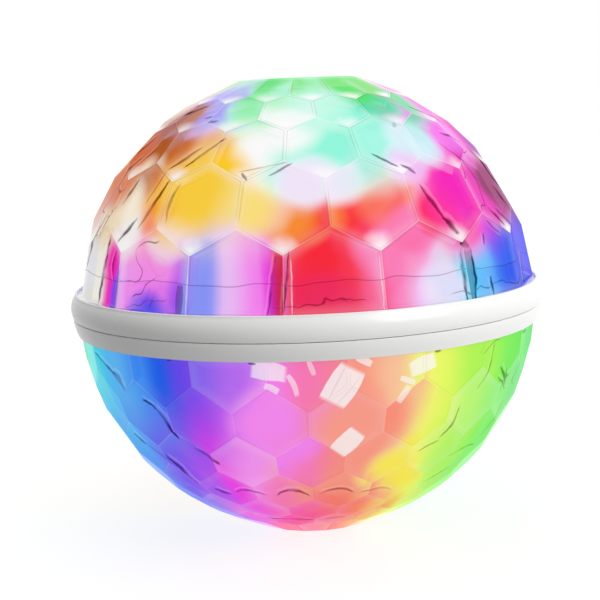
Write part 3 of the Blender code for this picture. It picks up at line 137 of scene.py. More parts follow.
def linear(code: str) -> Colour:
    """Turn a six-figure screen colour into the shader's linear one.

    Args:
        code: red, green and blue as two hexadecimal figures each.

    Returns:
        The linear colour with full alpha.
    """
    parts = [int(code[index:index + 2], 16) / 255 for index in (0, 2, 4)]
    red, green, blue = [part / 12.92 if part <= 0.04045 else ((part + 0.055) / 1.055) ** 2.4
                        for part in parts]
    return red, green, blue, 1.0


def grey(level: float) -> Colour:
    """Return the grey of a linear level."""
    return level, level, level, 1.0


def direction(longitude: float, latitude: float) -> Vector:
    """Return the unit vector at a longitude, measured from the front, and a latitude in degrees."""
    turn, rise = math.radians(longitude), math.radians(latitude)
    return Vector((math.sin(turn) * math.cos(rise), -math.cos(turn) * math.cos(rise), math.sin(rise)))


class Graph:
    """A short way to add and join nodes in one node tree."""

    def __init__(self, tree: bpy.types.NodeTree) -> None:
        """Keep the tree that nodes are added to."""
        self.tree = tree

    def feed(self, node: bpy.types.Node, inputs: Inputs) -> None:
        """Give a node its inputs.

        Args:
            node: the node.
            inputs: a plain value or another node's socket for each named input.
        """
        for key, value in inputs.items():
            if isinstance(value, Socket):
                self.tree.links.new(value, node.inputs[key])
            else:
                node.inputs[key].default_value = value

    def add(self, kind: str, inputs: Inputs, **settings: object) -> bpy.types.Node:
        """Add one node.

        Args:
            kind: Blender's name of the shader node's type.
            inputs: a plain value or another node's socket for each named input.
            settings: properties of the node.

        Returns:
            The new node.
        """
        node = self.tree.nodes.new("ShaderNode" + kind)
        for name, value in settings.items():
            setattr(node, name, value)
        self.feed(node, inputs)
        return node

    def group(self, tree: bpy.types.NodeTree, inputs: Inputs) -> bpy.types.bpy_prop_collection:
        """Place a node group and return its outputs."""
        return self.add("Group", inputs, node_tree=tree).outputs

    def math(self, operation: str, *values: object, clamp: bool = False) -> Socket:
        """Add a math node and return its result."""
        return self.add("Math", dict(enumerate(values)), operation=operation, use_clamp=clamp).outputs[0]

    def times(self, first: object, second: object) -> Socket:
        """Return the product of two numbers."""
        return self.math("MULTIPLY", first, second)

    def times_plus(self, first: object, second: object, rest: object) -> Socket:
        """Return the product of two numbers, plus a third."""
        return self.math("MULTIPLY_ADD", first, second, rest)

    def less(self, first: object, second: object) -> Socket:
        """Return the first number less the second."""
        return self.math("SUBTRACT", first, second)

    def most(self, first: object, second: object) -> Socket:
        """Return the larger of two numbers."""
        return self.math("MAXIMUM", first, second)

    def size(self, value: object) -> Socket:
        """Return a number without its sign."""
        return self.math("ABSOLUTE", value)

    def vector(self, operation: str, *values: object) -> Socket:
        """Add a vector math node and return its vector."""
        return self.add("VectorMath", dict(enumerate(values)), operation=operation).outputs[0]

    def measure(self, operation: str, *values: object) -> Socket:
        """Add a vector math node and return its number."""
        return self.add("VectorMath", dict(enumerate(values)), operation=operation).outputs["Value"]

    def scaled(self, vector: object, scale: object) -> Socket:
        """Return a vector times a number."""
        return self.add("VectorMath", {0: vector, "Scale": scale}, operation="SCALE").outputs[0]

    def split(self, vector: Socket) -> bpy.types.bpy_prop_collection:
        """Return the three parts of a vector."""
        return self.add("SeparateXYZ", {0: vector}).outputs

    def coordinates(self, kind: str = "Object") -> Socket:
        """Return the place on the surface, or in the surroundings."""
        return self.add("TexCoord", {}).outputs[kind]

    def attribute(self, name: str, output: str = "Fac") -> Socket:
        """Read a value that the mesh carries."""
        return self.add("Attribute", {}, attribute_name=name).outputs[output]

    def mix(self, share: object, first: object, second: object, blend: str = "MIX") -> Socket:
        """Mix two colours and return the result."""
        inputs = {0: share, 6: first, 7: second}
        return self.add("Mix", inputs, data_type="RGBA", blend_type=blend).outputs[2]

    def tinted(self, first: object, second: object) -> Socket:
        """Return the product of two colours."""
        return self.mix(1.0, first, second, "MULTIPLY")

    def fade(self, value: object, start: float, end: float, low: float = 0.0, high: float = 1.0) -> Socket:
        """Return a smooth change from low to high as a value goes from start to end."""
        inputs = {0: value, 1: start, 2: end, 3: low, 4: high}
        return self.add("MapRange", inputs, interpolation_type="SMOOTHSTEP").outputs[0]

    def noise(self, vector: object, pattern: Pattern, output: str = "Fac") -> Socket:
        """Add a noise texture and return its value or colour."""
        scale, detail = pattern.value
        return self.add("TexNoise", {"Vector": vector, "Scale": scale, "Detail": detail}).outputs[output]

    def wobble(self, vector: object, pattern: Pattern) -> Socket:
        """Return a noise that goes to both sides of zero."""
        return self.less(self.noise(vector, pattern), 0.5)

    def bump(self, height: Socket, strength: float, distance: float) -> Socket:
        """Turn a height into a normal."""
        return self.add("Bump", {"Strength": strength, "Distance": distance, "Height": height}).outputs[0]

    def ramp(self, value: object, stops: Sequence[tuple[float, Colour]]) -> Socket:
        """Add a colour ramp and return its colour.

        Args:
            value: the number that runs along the ramp.
            stops: places from zero to one and their colours, in order.

        Returns:
            The colour socket.
        """
        node = self.add("ValToRGB", {0: value})
        node.color_ramp.interpolation = "EASE"
        elements = node.color_ramp.elements
        while len(elements) < len(stops):
            elements.new(0.5)
        for element, (place, _) in zip(elements, stops):
            element.position = place
        for element, (_, colour) in zip(elements, stops):
            element.color = colour
        return node.outputs[0]


class GroupGraph(Graph):
    """The graph of a new shader node group."""

    def __init__(self, name: str, inputs: dict[str, str], outputs: dict[str, str]) -> None:
        """Make an empty group.

        Args:
            name: the group's name.
            inputs: socket types by input name.
            outputs: socket types by output name.
        """
        super().__init__(bpy.data.node_groups.new(name, "ShaderNodeTree"))
        for way, sockets in (("INPUT", inputs), ("OUTPUT", outputs)):
            for socket, kind in sockets.items():
                self.tree.interface.new_socket(socket, in_out=way, socket_type="NodeSocket" + kind)
        self.inlet = self.tree.nodes.new("NodeGroupInput")
        self.outlet = self.tree.nodes.new("NodeGroupOutput")

    def given(self, name: str) -> Socket:
        """Return one of the group's inputs."""
        return self.inlet.outputs[name]

    def done(self, **outputs: Socket) -> bpy.types.NodeTree:
        """Feed the group's outputs and return the group."""
        self.feed(self.outlet, outputs)
        return self.tree


@dataclass(frozen=True)
class LightRing:
    """The hues round a dome at one latitude, as pairs of longitude and hue in degrees.

    A colour ramp holds 32 stops, so a ring has 31 hues at most.
    """

    latitude: float
    hues: tuple[tuple[float, Hue], ...]

    def stops(self) -> list[tuple[float, Colour]]:
        """The ring as the stops of a colour ramp, which ends as it starts."""
        places = [((longitude + 180) / 360, hue.linear) for longitude, hue in self.hues]
        return places + [(1.0, places[0][1])]


@dataclass(frozen=True)
class Pool:
    """A round pool of one light's colour on a dome, in degrees."""

    hue: Hue
    longitude: float
    latitude: float
    reach: float


@dataclass(frozen=True)
class LightField:
    """The light that reaches one dome: broad rings of colour with pools over them.

    The pole's hue comes in between the pole's two latitudes. A pool's edge is softness
    times its reach away, and lift is the power that evens out dark and bright colours.
    """

    name: str
    rings: tuple[LightRing, ...]
    pools: tuple[Pool, ...]
    pole: Hue
    pole_latitudes: Pair = (60.0, 84.0)
    softness: float = 1.3
    strength: float = 1.05
    lift: float = 0.50

    def group(self) -> bpy.types.NodeTree:
        """Make the node group that gives the light's colour in a direction from the ball's middle.

        Returns:
            The group, with a Direction input and a Colour output.
        """
        graph = GroupGraph(self.name, {"Direction": "Vector"}, {"Colour": "Color"})
        unit = graph.vector("NORMALIZE", graph.given("Direction"))
        x, y, z = graph.split(unit)
        longitude = graph.math("ARCTAN2", x, graph.times(y, -1.0))
        place = graph.times_plus(longitude, 1 / (2 * math.pi), 0.5)
        latitude = graph.times(graph.size(graph.math("ARCSINE", z)), 180 / math.pi)
        colour = graph.ramp(place, self.rings[0].stops())
        for lower, upper in zip(self.rings, self.rings[1:]):
            share = graph.fade(latitude, lower.latitude, upper.latitude)
            colour = graph.mix(share, colour, graph.ramp(place, upper.stops()))
        colour = graph.mix(graph.fade(latitude, *self.pole_latitudes), colour, self.pole.linear)
        for pool in self.pools:
            near = graph.measure("DOT_PRODUCT", unit, direction(pool.longitude, pool.latitude))
            edge = math.cos(math.radians(pool.reach * self.softness))
            share = graph.fade(near, edge, 1.0, 0.0, self.strength)
            colour = graph.mix(share, colour, pool.hue.linear)
        red, green, blue = graph.add("SeparateColor", {0: colour}).outputs
        brightest = graph.most(graph.most(red, green), blue)
        return graph.done(Colour=graph.scaled(colour, graph.math("POWER", brightest, -self.lift)))


# Each pool is its hue, longitude, latitude and reach.
UPPER_POOLS = (
    (Hue.CLEAR, -51, 25, 8), (Hue.MIST, -33, 25, 6), (Hue.INDIGO, -38, 4, 7), (Hue.MAGENTA, -57, 16, 5),
    (Hue.RED, 6, 17, 9), (Hue.CRIMSON, 6, 5, 8), (Hue.RED, 9, 23, 8), (Hue.PINK, 21, 20, 8),
    (Hue.MIST, 32, 10, 6), (Hue.RED, 10, 28, 6), (Hue.CORAL, 19, 32, 7), (Hue.ORANGE, 0, 28, 7),
    (Hue.PEACH, -6, 30, 6), (Hue.PINK, 25, 24, 6), (Hue.RED, 32, 27, 5), (Hue.HOT_PINK, 44, 29, 13),
    (Hue.VIOLET, 60, 21, 8), (Hue.MAROON, 61, 29, 8), (Hue.MAGENTA, 54, 38, 16), (Hue.MAROON, 69, 36, 7),
    (Hue.BLUE, 68, 12, 12), (Hue.GOLD, -29, 35, 13), (Hue.GOLD, -24, 40, 10), (Hue.BUTTER, -13, 32, 8),
    (Hue.WHITE, -13, 47, 10), (Hue.ORANGE, -40, 31, 6), (Hue.AMBER, -40, 45, 9), (Hue.RUST, -53, 45, 8),
    (Hue.BROWN, -66, 45, 14), (Hue.CREAM, -58, 34, 7), (Hue.SAND, -67, 28, 8), (Hue.FROST, 4, 44, 11),
    (Hue.AQUA, 17, 50, 15), (Hue.MIST, 5, 38, 7), (Hue.LILAC, 29, 40, 6), (Hue.ICE, 38, 47, 8),
    (Hue.ORCHID, 60, 50, 9), (Hue.LAVENDER, -46, 59, 11), (Hue.BROWN, -59, 54, 7), (Hue.TEAL, 44, 61, 9),
    (Hue.GREEN, 34, 70, 10), (Hue.WHITE, -6, 53, 8), (Hue.MINT, -14, 63, 8), (Hue.GREEN, -24, 72, 7),
    (Hue.FROST, 8, 61, 9), (Hue.GOLD, -29, 36, 10), (Hue.RUST, -70, 40, 9), (Hue.MAROON, 76, 30, 10),
)
UPPER_LIGHT = LightField("upper_light", (
    LightRing(12, (
        (-180, Hue.GOLD), (-150, Hue.LEAF), (-125, Hue.AQUA), (-100, Hue.PERIWINKLE), (-80, Hue.CLEAR),
        (-62, Hue.CLEAR), (-58, Hue.MAGENTA), (-53, Hue.VIOLET), (-50, Hue.LILAC), (-44, Hue.ORCHID),
        (-34, Hue.ORCHID), (-29, Hue.PURPLE), (-27, Hue.PERIWINKLE), (-22, Hue.PERIWINKLE),
        (-18, Hue.LILAC), (-9, Hue.ORCHID), (-6, Hue.FUCHSIA), (-3, Hue.CRIMSON), (4, Hue.RED),
        (11, Hue.RED), (15, Hue.ROSE), (20, Hue.PINK), (27, Hue.LILAC), (34, Hue.ICE), (39, Hue.CYAN),
        (50, Hue.SKY), (58, Hue.AZURE), (66, Hue.BLUE), (82, Hue.INDIGO), (104, Hue.MAGENTA),
        (135, Hue.CORAL))),
    LightRing(40, (
        (-180, Hue.AQUA), (-140, Hue.LAVENDER), (-105, Hue.BROWN), (-84, Hue.RUST), (-68, Hue.SAND),
        (-52, Hue.AMBER), (-28, Hue.GOLD), (-10, Hue.CREAM), (6, Hue.MIST), (24, Hue.PEACH),
        (36, Hue.LILAC), (50, Hue.MAGENTA), (66, Hue.FUCHSIA), (82, Hue.PLUM), (115, Hue.ROSE),
        (150, Hue.PEACH))),
    LightRing(58, (
        (-180, Hue.MINT), (-120, Hue.LAVENDER), (-72, Hue.SAND), (-48, Hue.LAVENDER), (-26, Hue.FROST),
        (-8, Hue.MINT), (18, Hue.AQUA), (42, Hue.TEAL), (60, Hue.ORCHID), (84, Hue.MAGENTA),
        (115, Hue.PEACH), (145, Hue.LEMON))),
), tuple(Pool(*values) for values in UPPER_POOLS), Hue.MINT)
LOWER_POOLS = (
    (Hue.ORCHID, -10, -22, 8), (Hue.SALMON, 12, -22, 10), (Hue.YELLOW, 24, -36, 7),
)
LOWER_LIGHT = LightField("lower_light", (
    LightRing(12, (
        (-180, Hue.ROSE), (-150, Hue.AMBER), (-120, Hue.YELLOW), (-96, Hue.LEAF), (-82, Hue.TEAL),
        (-64, Hue.CYAN), (-53, Hue.SKY), (-41, Hue.AZURE), (-34, Hue.BLUE), (-27, Hue.VIOLET),
        (-17, Hue.PURPLE), (-8, Hue.ORCHID), (0, Hue.PINK), (14, Hue.SALMON), (24, Hue.PEACH),
        (32, Hue.LEMON), (44, Hue.LIME), (56, Hue.LEAF), (70, Hue.GREEN), (84, Hue.FOREST),
        (110, Hue.TEAL), (140, Hue.BLUE), (162, Hue.VIOLET))),
    LightRing(38, (
        (-180, Hue.HOT_PINK), (-150, Hue.CORAL), (-120, Hue.GOLD), (-92, Hue.SKY), (-59, Hue.AZURE),
        (-48, Hue.VIOLET), (-34, Hue.PURPLE), (-26, Hue.FUCHSIA), (-15, Hue.ORCHID), (-6, Hue.PINK),
        (3, Hue.SALMON), (13, Hue.SALMON), (20, Hue.PEACH), (27, Hue.LEMON), (42, Hue.LIME),
        (58, Hue.LEAF), (78, Hue.GREEN), (110, Hue.TEAL), (140, Hue.INDIGO), (165, Hue.MAGENTA))),
    LightRing(56, (
        (-180, Hue.HOT_PINK), (-150, Hue.CORAL), (-120, Hue.GOLD), (-92, Hue.AZURE), (-58, Hue.BLUE),
        (-42, Hue.VIOLET), (-28, Hue.FUCHSIA), (-14, Hue.HOT_PINK), (0, Hue.ROSE), (12, Hue.CORAL),
        (24, Hue.AMBER), (34, Hue.LEMON), (50, Hue.LIME), (78, Hue.GREEN), (110, Hue.TEAL),
        (140, Hue.INDIGO), (165, Hue.MAGENTA))),
), tuple(Pool(*values) for values in LOWER_POOLS), Hue.ROSE)

STREAKS_PER_FACET = 6
STREAK_PARTS = ("middle", "along", "side", "look")
STREAK_SAMPLES = (-0.95, -0.6, -0.3, 0.0, 0.3, 0.6, 0.95)
LEAST_FACING = 0.05


@dataclass(frozen=True)
class Streak:
    """A painted streak on the facets, in degrees. A dark one is a line where they bend an edge into
    view, and near the upper dome's sides it is also painted shade; a white one is a pane of a painted
    window reflection.

    Depth deepens the dome's own colour, and under zero it paints a white reflection. Bend is the rise of
    the ends over the middle in half widths, and a small soft makes a crisp side.
    """

    depth: float
    longitude: float
    latitude: float
    slope: float
    half_length: float
    half_width: float
    bend: float = 0.0
    soft: float = 0.7

    def frame(self, plane: Vector, distance: float) -> tuple[Vector, Vector, Vector]:
        """Place the streak on a facet's plane.

        Args:
            plane: the facet's normal.
            distance: its distance from the ball's middle.

        Returns:
            The streak's middle, and its two directions, each divided by its half size.
        """
        out = direction(self.longitude, self.latitude)
        middle = out * (distance / max(out.dot(plane), LEAST_FACING))
        east = Vector((-out.y, out.x, 0.0)).normalized()
        north = out.cross(east)
        lean = math.radians(self.slope)
        along = east * math.cos(lean) + north * math.sin(lean)
        along = (along - plane * along.dot(plane)).normalized()
        side = plane.cross(along)
        degree = math.radians(middle.length)
        return middle, along / (self.half_length * degree), side / (self.half_width * degree)

    def samples(self) -> list[Vector]:
        """Find places along the streak.

        Returns:
            Their directions from the ball's middle.
        """
        found = []
        lean = math.radians(self.slope)
        narrowing = math.cos(math.radians(self.latitude))
        for share in STREAK_SAMPLES:
            along = share * self.half_length
            side = -self.bend * share ** 2 * self.half_width
            east = (along * math.cos(lean) - side * math.sin(lean)) / narrowing
            north = along * math.sin(lean) + side * math.cos(lean)
            found.append(direction(self.longitude + east, self.latitude + north))
        return found


# Each streak is its depth, longitude, latitude, slope, half length and half width, and where
# they differ from the usual ones its bend and soft. The dark streaks near the upper dome's sides
# are painted shade as well as lines. A facet keeps the first streaks that cross it, so the panes
# of the painted window reflection come first in the lower dome.
UPPER_STREAKS = tuple(Streak(*values) for values in (
    (0.35, -6.0, 11.6, 82, 7.4, 1.90, 0.0, 0.15), (0.55, 40.9, 10.4, 87, 6.6, 1.90, 0.0, 0.2),
    (0.92, -32, 44, 46, 6.2, 0.75), (0.90, -39, 42.5, 47, 5.2, 0.70), (0.75, -45.5, 34.5, 66, 4.8, 0.45),
    (0.95, -51, 23.5, 57, 4.2, 0.95), (0.95, -43.6, 30, 64, 7.4, 0.95),
    (0.70, -37.2, 30.5, 86, 5.4, 0.65, 1.6), (0.95, -59.5, 13.5, 80, 9.0, 1.30),
    (0.85, -54, 15, 90, 4.0, 0.75, 2.2), (0.60, -50, 9.5, 90, 5.2, 0.40),
    (0.75, -7.6, 11.6, 81, 7.6, 0.45), (0.80, -4.4, 12, 84, 7.6, 0.50),
    (0.55, -29.8, 8, 90, 4.0, 1.20, 0.0, 0.15), (-0.65, -27.7, 11.7, 90, 7.4, 0.34),
    (-0.55, -3.2, 11, 90, 7.0, 0.30), (-0.55, 17.0, 11, 90, 7.0, 0.34), (0.96, 35.4, 28.5, -68, 5.2, 0.80),
    (0.97, 38.6, 22.4, -56, 3.0, 1.20), (0.98, 41.0, 17.6, -20, 1.8, 1.30),
    (0.92, 39.0, 10.4, 89, 6.4, 0.75), (0.98, 43.0, 10.2, 84, 7.0, 1.15, -1.0),
    (0.90, 49.6, 7.0, 90, 2.6, 0.80), (0.85, 49.7, 18.2, 82, 1.5, 0.65),
    (0.80, 55.2, 20.3, -35, 3.4, 0.50), (0.85, 59.3, 22.8, -50, 3.8, 0.70),
    (0.90, 64.3, 21.8, -48, 4.0, 0.90), (0.80, 25.1, 39.8, -40, 3.6, 0.65),
    (0.85, 31.5, 37, -40, 2.2, 0.85), (0.60, 55.8, 38.6, -66, 7.0, 0.42),
    (0.80, 62.6, 45.2, -30, 4.2, 0.75), (0.90, 71.5, 35, -78, 6.5, 0.95), (0.90, -62, 57, 38, 8.0, 0.95),
    (0.85, -71, 45, 60, 5.4, 0.90), (0.85, -65, 32.6, -5, 3.8, 0.60, -2.0),
    (0.85, -64, 25, 62, 5.0, 0.65, 1.5), (0.80, -57, 33, 70, 4.0, 0.70), (0.55, -11, 39.4, 10, 6.0, 0.40),
    (0.75, -6, 38.6, 30, 3.2, 0.45), (0.75, -16, 36.8, -55, 1.5, 0.55), (0.85, -36.4, 54, 22, 1.5, 0.85),
    (0.80, -41, 55.8, 15, 1.3, 0.75), (0.85, -70, 20, 78, 8.0, 0.95), (0.88, -68, 38, 62, 6.0, 0.85),
    (0.80, -61, 43, 58, 4.0, 0.70), (0.85, 66, 53, -48, 7.0, 0.80), (0.80, 70, 27, -70, 4.0, 0.90),
    (0.70, 69, 8, 60, 5.0, 1.10), (0.65, 36.5, 50.3, 60, 0.9, 0.95),
))
LOWER_STREAKS = tuple(Streak(*values) for values in (
    (-0.80, 7.2, -11.1, 58, 5.0, 3.60, 0.0, 0.05), (-0.72, 12.1, -5.6, -30, 2.2, 0.90, 0.0, 0.12),
    (-0.66, -9.0, -6.9, -8, 4.2, 2.30, 0.25, 0.12), (-0.60, -8.6, -11.0, -28, 1.9, 0.95, 0.0, 0.15),
    (-0.55, -3.6, -10.4, -70, 2.9, 0.70, 0.6, 0.15), (-0.50, 0.4, -6.6, -72, 2.0, 0.65, 0.0, 0.15),
    (-0.72, 26.2, -7.8, 16, 3.6, 2.10, 0.2, 0.10), (-0.62, 22.6, -11.2, -22, 2.1, 0.70, 0.0, 0.12),
    (-0.60, 21.8, -14.4, 58, 2.4, 0.95, 0.0, 0.12), (-0.80, 8.7, -25.6, 48, 3.8, 2.60, 0.0, 0.08),
    (0.16, 5.9, -10.4, 63, 4.8, 0.22, 0.0, 0.3), (0.14, 8.7, -12.2, 50, 4.6, 0.20, 0.0, 0.3),
    (0.80, -57, -10, -31, 7.6, 0.60, 1.0), (0.90, -52.5, -12, -42, 3.4, 0.90, 1.2),
    (0.92, -42.5, -16.8, -18, 2.3, 0.65), (0.98, -38, -21.2, -61, 5.2, 1.15, 0.8),
    (0.88, -28.5, -29.6, -37, 3.8, 1.00, 0.8), (0.85, -55, -29, -45, 2.3, 1.10),
    (0.88, -41.5, -36.4, -67, 6.0, 0.90, 0.9), (0.60, -47.5, -32, -25, 4.2, 0.45),
    (0.75, -30.9, -43.3, -30, 2.2, 0.85), (0.70, -20.6, -41.2, 0, 4.2, 0.75, 3.2),
    (0.88, -6.6, -40.8, 0, 4.2, 0.95, 3.2), (0.80, 7.2, -41.2, -3, 4.4, 0.80, 3.0),
    (0.65, 20.2, -42.6, -6, 4.6, 0.60, 3.2), (0.70, -17, -56.5, -10, 2.6, 0.70),
    (0.70, -5, -57, -4, 2.8, 0.65), (0.55, 9, -57, 4, 2.8, 0.60), (0.70, 47.6, -11.8, 68, 6.2, 0.52, -2.0),
    (0.80, 38, -24.6, 66, 4.8, 0.58, -1.4), (0.70, 32.5, -30, 20, 3.2, 0.52),
    (0.75, 56, -15.6, -55, 4.2, 0.75, 1.0), (0.70, 56, -17.4, -35, 4.6, 0.52),
    (0.65, 66, -6.2, -5, 3.6, 0.60), (0.60, 49, -34.3, 2, 6.0, 0.50, 2.0),
    (0.55, 44, -42.6, 25, 4.6, 0.48), (0.60, 60, -27.6, 62, 6.0, 0.48), (0.85, -33.2, -5.3, 0, 1.0, 0.50),
    (0.85, -12.6, -5.3, 0, 1.0, 0.50), (0.85, 8.4, -5.3, 0, 1.0, 0.50), (0.85, 30.1, -5.3, 0, 1.0, 0.50),
))


def grain_group() -> bpy.types.NodeTree:
    """Make the group of fine moulding grain.

    Returns:
        The group, which gives a soft change of tone and a bump height.
    """
    graph = GroupGraph("moulding_grain", {"Fineness": "Float", "Depth": "Float"},
                       {"Tone": "Float", "Height": "Float"})
    place = graph.coordinates()
    inputs = {"Vector": place, "Scale": graph.given("Fineness"), "Detail": FINE_DETAIL}
    fine = graph.add("TexNoise", inputs).outputs["Fac"]
    broad = graph.noise(place, Pattern.BROAD_GRAIN)
    both = graph.math("ADD", graph.times(fine, 0.5), graph.times(broad, 0.5))
    tone = graph.times_plus(graph.less(both, 0.5), graph.given("Depth"), 1.0)
    return graph.done(Tone=tone, Height=fine)


def facet_group() -> bpy.types.NodeTree:
    """Make the group that shows what one facet bends into view.

    A facet shows the light from a little beside the place where it stands, and
    spread out a little, so the colours jump where two facets meet.

    Returns:
        The group, which gives the direction to look in and the place from the ball's middle.
    """
    graph = GroupGraph("facet_view", {"Spread": "Float", "Shift": "Float", "Wander": "Float"},
                       {"Direction": "Vector", "Place": "Vector"})
    here = graph.vector("SUBTRACT", graph.coordinates(), tuple(CENTRE))
    middle = graph.attribute("facet_middle", "Vector")
    offset = graph.scaled(graph.vector("SUBTRACT", here, middle), graph.given("Spread"))
    shift = graph.scaled(graph.attribute("facet_lean", "Vector"), graph.given("Shift"))
    moved = graph.vector("ADD", graph.vector("ADD", middle, offset), shift)
    cloud = graph.vector("SUBTRACT", graph.noise(here, Pattern.CLOUD, "Color"), (0.5, 0.5, 0.5))
    wander = graph.scaled(cloud, graph.given("Wander"))
    return graph.done(Direction=graph.vector("ADD", moved, wander), Place=here)


@dataclass(frozen=True)
class StreakLook:
    """How the painted streaks are drawn, in half lengths along them and half widths across them."""

    raggedness: float = 2.2
    taper: float = 2.4
    breakup: float = 0.6
    breakup_from: Pair = (0.36, 0.58)
    end_slope: float = 5.0
    shoulder: float = 0.14
    shoulder_offset: float = 1.5
    shoulder_fade: Pair = (0.1, 0.8)
    shoulder_from: float = 0.6

    def group(self) -> bpy.types.NodeTree:
        """Make the group that draws one painted streak in a facet.

        Look holds the streak's bend, its depth and the softness of its sides.

        Returns:
            The group, which gives how deep the streak makes the facet, and how white its painted reflection
            and the painted highlight along its shoulder make it.
        """
        graph = GroupGraph(
            "bent_streak", {name: "Vector" for name in ("Place", "Middle", "Along", "Side", "Look")},
            {"Deep": "Float", "White": "Float"})
        place = graph.given("Place")
        off = graph.vector("SUBTRACT", place, graph.given("Middle"))
        bend, depth, soft = graph.split(graph.given("Look"))
        along = graph.measure("DOT_PRODUCT", off, graph.given("Along"))
        side = graph.measure("DOT_PRODUCT", off, graph.given("Side"))
        side = graph.times_plus(graph.times(along, along), bend, side)
        ragged = graph.times(graph.wobble(place, Pattern.RAGGED_SIDE), soft)
        side = graph.times_plus(ragged, self.raggedness, side)
        taper = graph.times_plus(graph.times(along, along), graph.times(soft, self.taper), 1.0)
        across = graph.less(1.0, graph.times(graph.size(side), taper))
        across = graph.math("DIVIDE", across, soft, clamp=True)
        # Patches where the painted streak breaks up.
        breakup = graph.fade(graph.noise(place, Pattern.STREAK_BREAKUP), *self.breakup_from, self.breakup, 0.0)
        unbroken = graph.less(1.0, graph.times(soft, breakup))
        ends = graph.math("MULTIPLY", graph.less(1.0, graph.size(along)), self.end_slope, clamp=True)
        mask = graph.times(graph.times(across, graph.times(ends, unbroken)), depth)
        # Painted highlight along the shoulder of a deep streak.
        beside = graph.size(graph.less(side, self.shoulder_offset))
        shoulder = graph.times(graph.fade(beside, *self.shoulder_fade, self.shoulder, 0.0),
                               graph.times(ends, graph.math("GREATER_THAN", depth, self.shoulder_from)))
        return graph.done(Deep=graph.most(mask, 0.0), White=graph.most(graph.times(mask, -1.0), shoulder))


@dataclass(frozen=True)
class CurlLook:
    """How thin curled lines are drawn, as bent reflections show in thick plastic."""

    line: Pair = (0.003, 0.012)
    strength: float = 0.7
    patches: Pair = (0.50, 0.60)

    def group(self) -> bpy.types.NodeTree:
        """Make the group of curled lines.

        Returns:
            The group, which gives how dark the line is at a place.
        """
        graph = GroupGraph("bent_curls", {"Place": "Vector"}, {"Line": "Float"})
        off = graph.size(graph.wobble(graph.given("Place"), Pattern.CURL))
        gate = graph.fade(graph.noise(graph.given("Place"), Pattern.CURL_PATCH), *self.patches)
        return graph.done(Line=graph.times(graph.fade(off, *self.line, self.strength, 0.0), gate))


class Groups:
    """The node groups that several materials share."""

    def __init__(self) -> None:
        """Make each group once."""
        self.grain = grain_group()
        self.facet = facet_group()
        self.streak = StreakLook().group()
        self.curl = CurlLook().group()
        self.lights = {light.name: light.group() for light in (UPPER_LIGHT, LOWER_LIGHT)}


def new_material(name: str) -> tuple[bpy.types.Material, Graph, bpy.types.Node]:
    """Make a material with a Principled shader.

    Args:
        name: the material's name.

    Returns:
        The material, its graph and its Principled node.
    """
    material = bpy.data.materials.new(name)
    material.use_nodes = True
    return material, Graph(material.node_tree), material.node_tree.nodes["Principled BSDF"]


@dataclass(frozen=True)
class Finish:
    """A moulded, turned or printed finish with grain, for everything but the domes."""

    name: str
    colour: str
    roughness: float
    metallic: float = 0.0
    fineness: float = 900.0
    depth: float = 0.12
    bump: float = 0.08
    coat: float = 0.0
    glow: float = 0.0
    coat_roughness: float = 0.04
    grain_height: float = 0.0001

    def material(self, groups: Groups) -> bpy.types.Material:
        """Build the node material.

        Args:
            groups: the shared node groups.

        Returns:
            The material.
        """
        material, graph, shader = new_material(self.name)
        grain = graph.group(groups.grain, {"Fineness": self.fineness, "Depth": self.depth})
        toned = graph.scaled(linear(self.colour)[:3], grain["Tone"])
        graph.feed(shader, {
            "Base Color": toned, "Roughness": graph.times(grain["Tone"], self.roughness),
            "Metallic": self.metallic, "Coat Weight": self.coat, "Coat Roughness": self.coat_roughness,
            "Normal": graph.bump(grain["Height"], self.bump, self.grain_height)})
        if self.glow:
            graph.feed(shader, {"Emission Color": toned, "Emission Strength": self.glow})
        return material


@dataclass(frozen=True)
class Collar:
    """The wavy creases over the belt, with painted shade under the upper one, as heights from the ball's
    middle.
    """

    top: float = 0.0120
    foot: float = 0.0072
    wave: float = 0.0034
    wander: float = 0.0060
    top_line: Pair = (0.00004, 0.00020)
    foot_line: Pair = (0.00006, 0.00024)
    foot_patches: Pair = (0.54, 0.62)
    foot_strength: float = 1.2
    shade: float = 0.6
    shade_edge: float = 0.0004

    def masks(self, graph: Graph, place: Socket, strength: float) -> tuple[Socket, Socket]:
        """Draw the creases.

        Args:
            graph: the material's graph.
            place: the place from the ball's middle.
            strength: how dark the upper crease is.

        Returns:
            The mask of the creases, and that of the painted shade, a deeper colour under the upper one.
        """
        height = graph.size(graph.split(place)[2])
        rise = graph.less(height, graph.times(graph.wobble(place, Pattern.SMEAR), self.wave))
        crease = graph.fade(graph.size(graph.less(rise, self.top)), *self.top_line, strength, 0.0)
        wander = graph.times(graph.wobble(place, Pattern.POLISH), self.wander)
        foot = graph.size(graph.less(graph.less(rise, wander), self.foot))
        gate = graph.fade(graph.noise(place, Pattern.CREASE_PATCH), *self.foot_patches)
        ripple = graph.times(graph.fade(foot, *self.foot_line, strength * self.foot_strength, 0.0), gate)
        # Painted shade: a deeper colour under the upper crease.
        under = graph.fade(rise, self.top, self.top - self.shade_edge, 0.0, strength * self.shade)
        return graph.most(crease, ripple), under


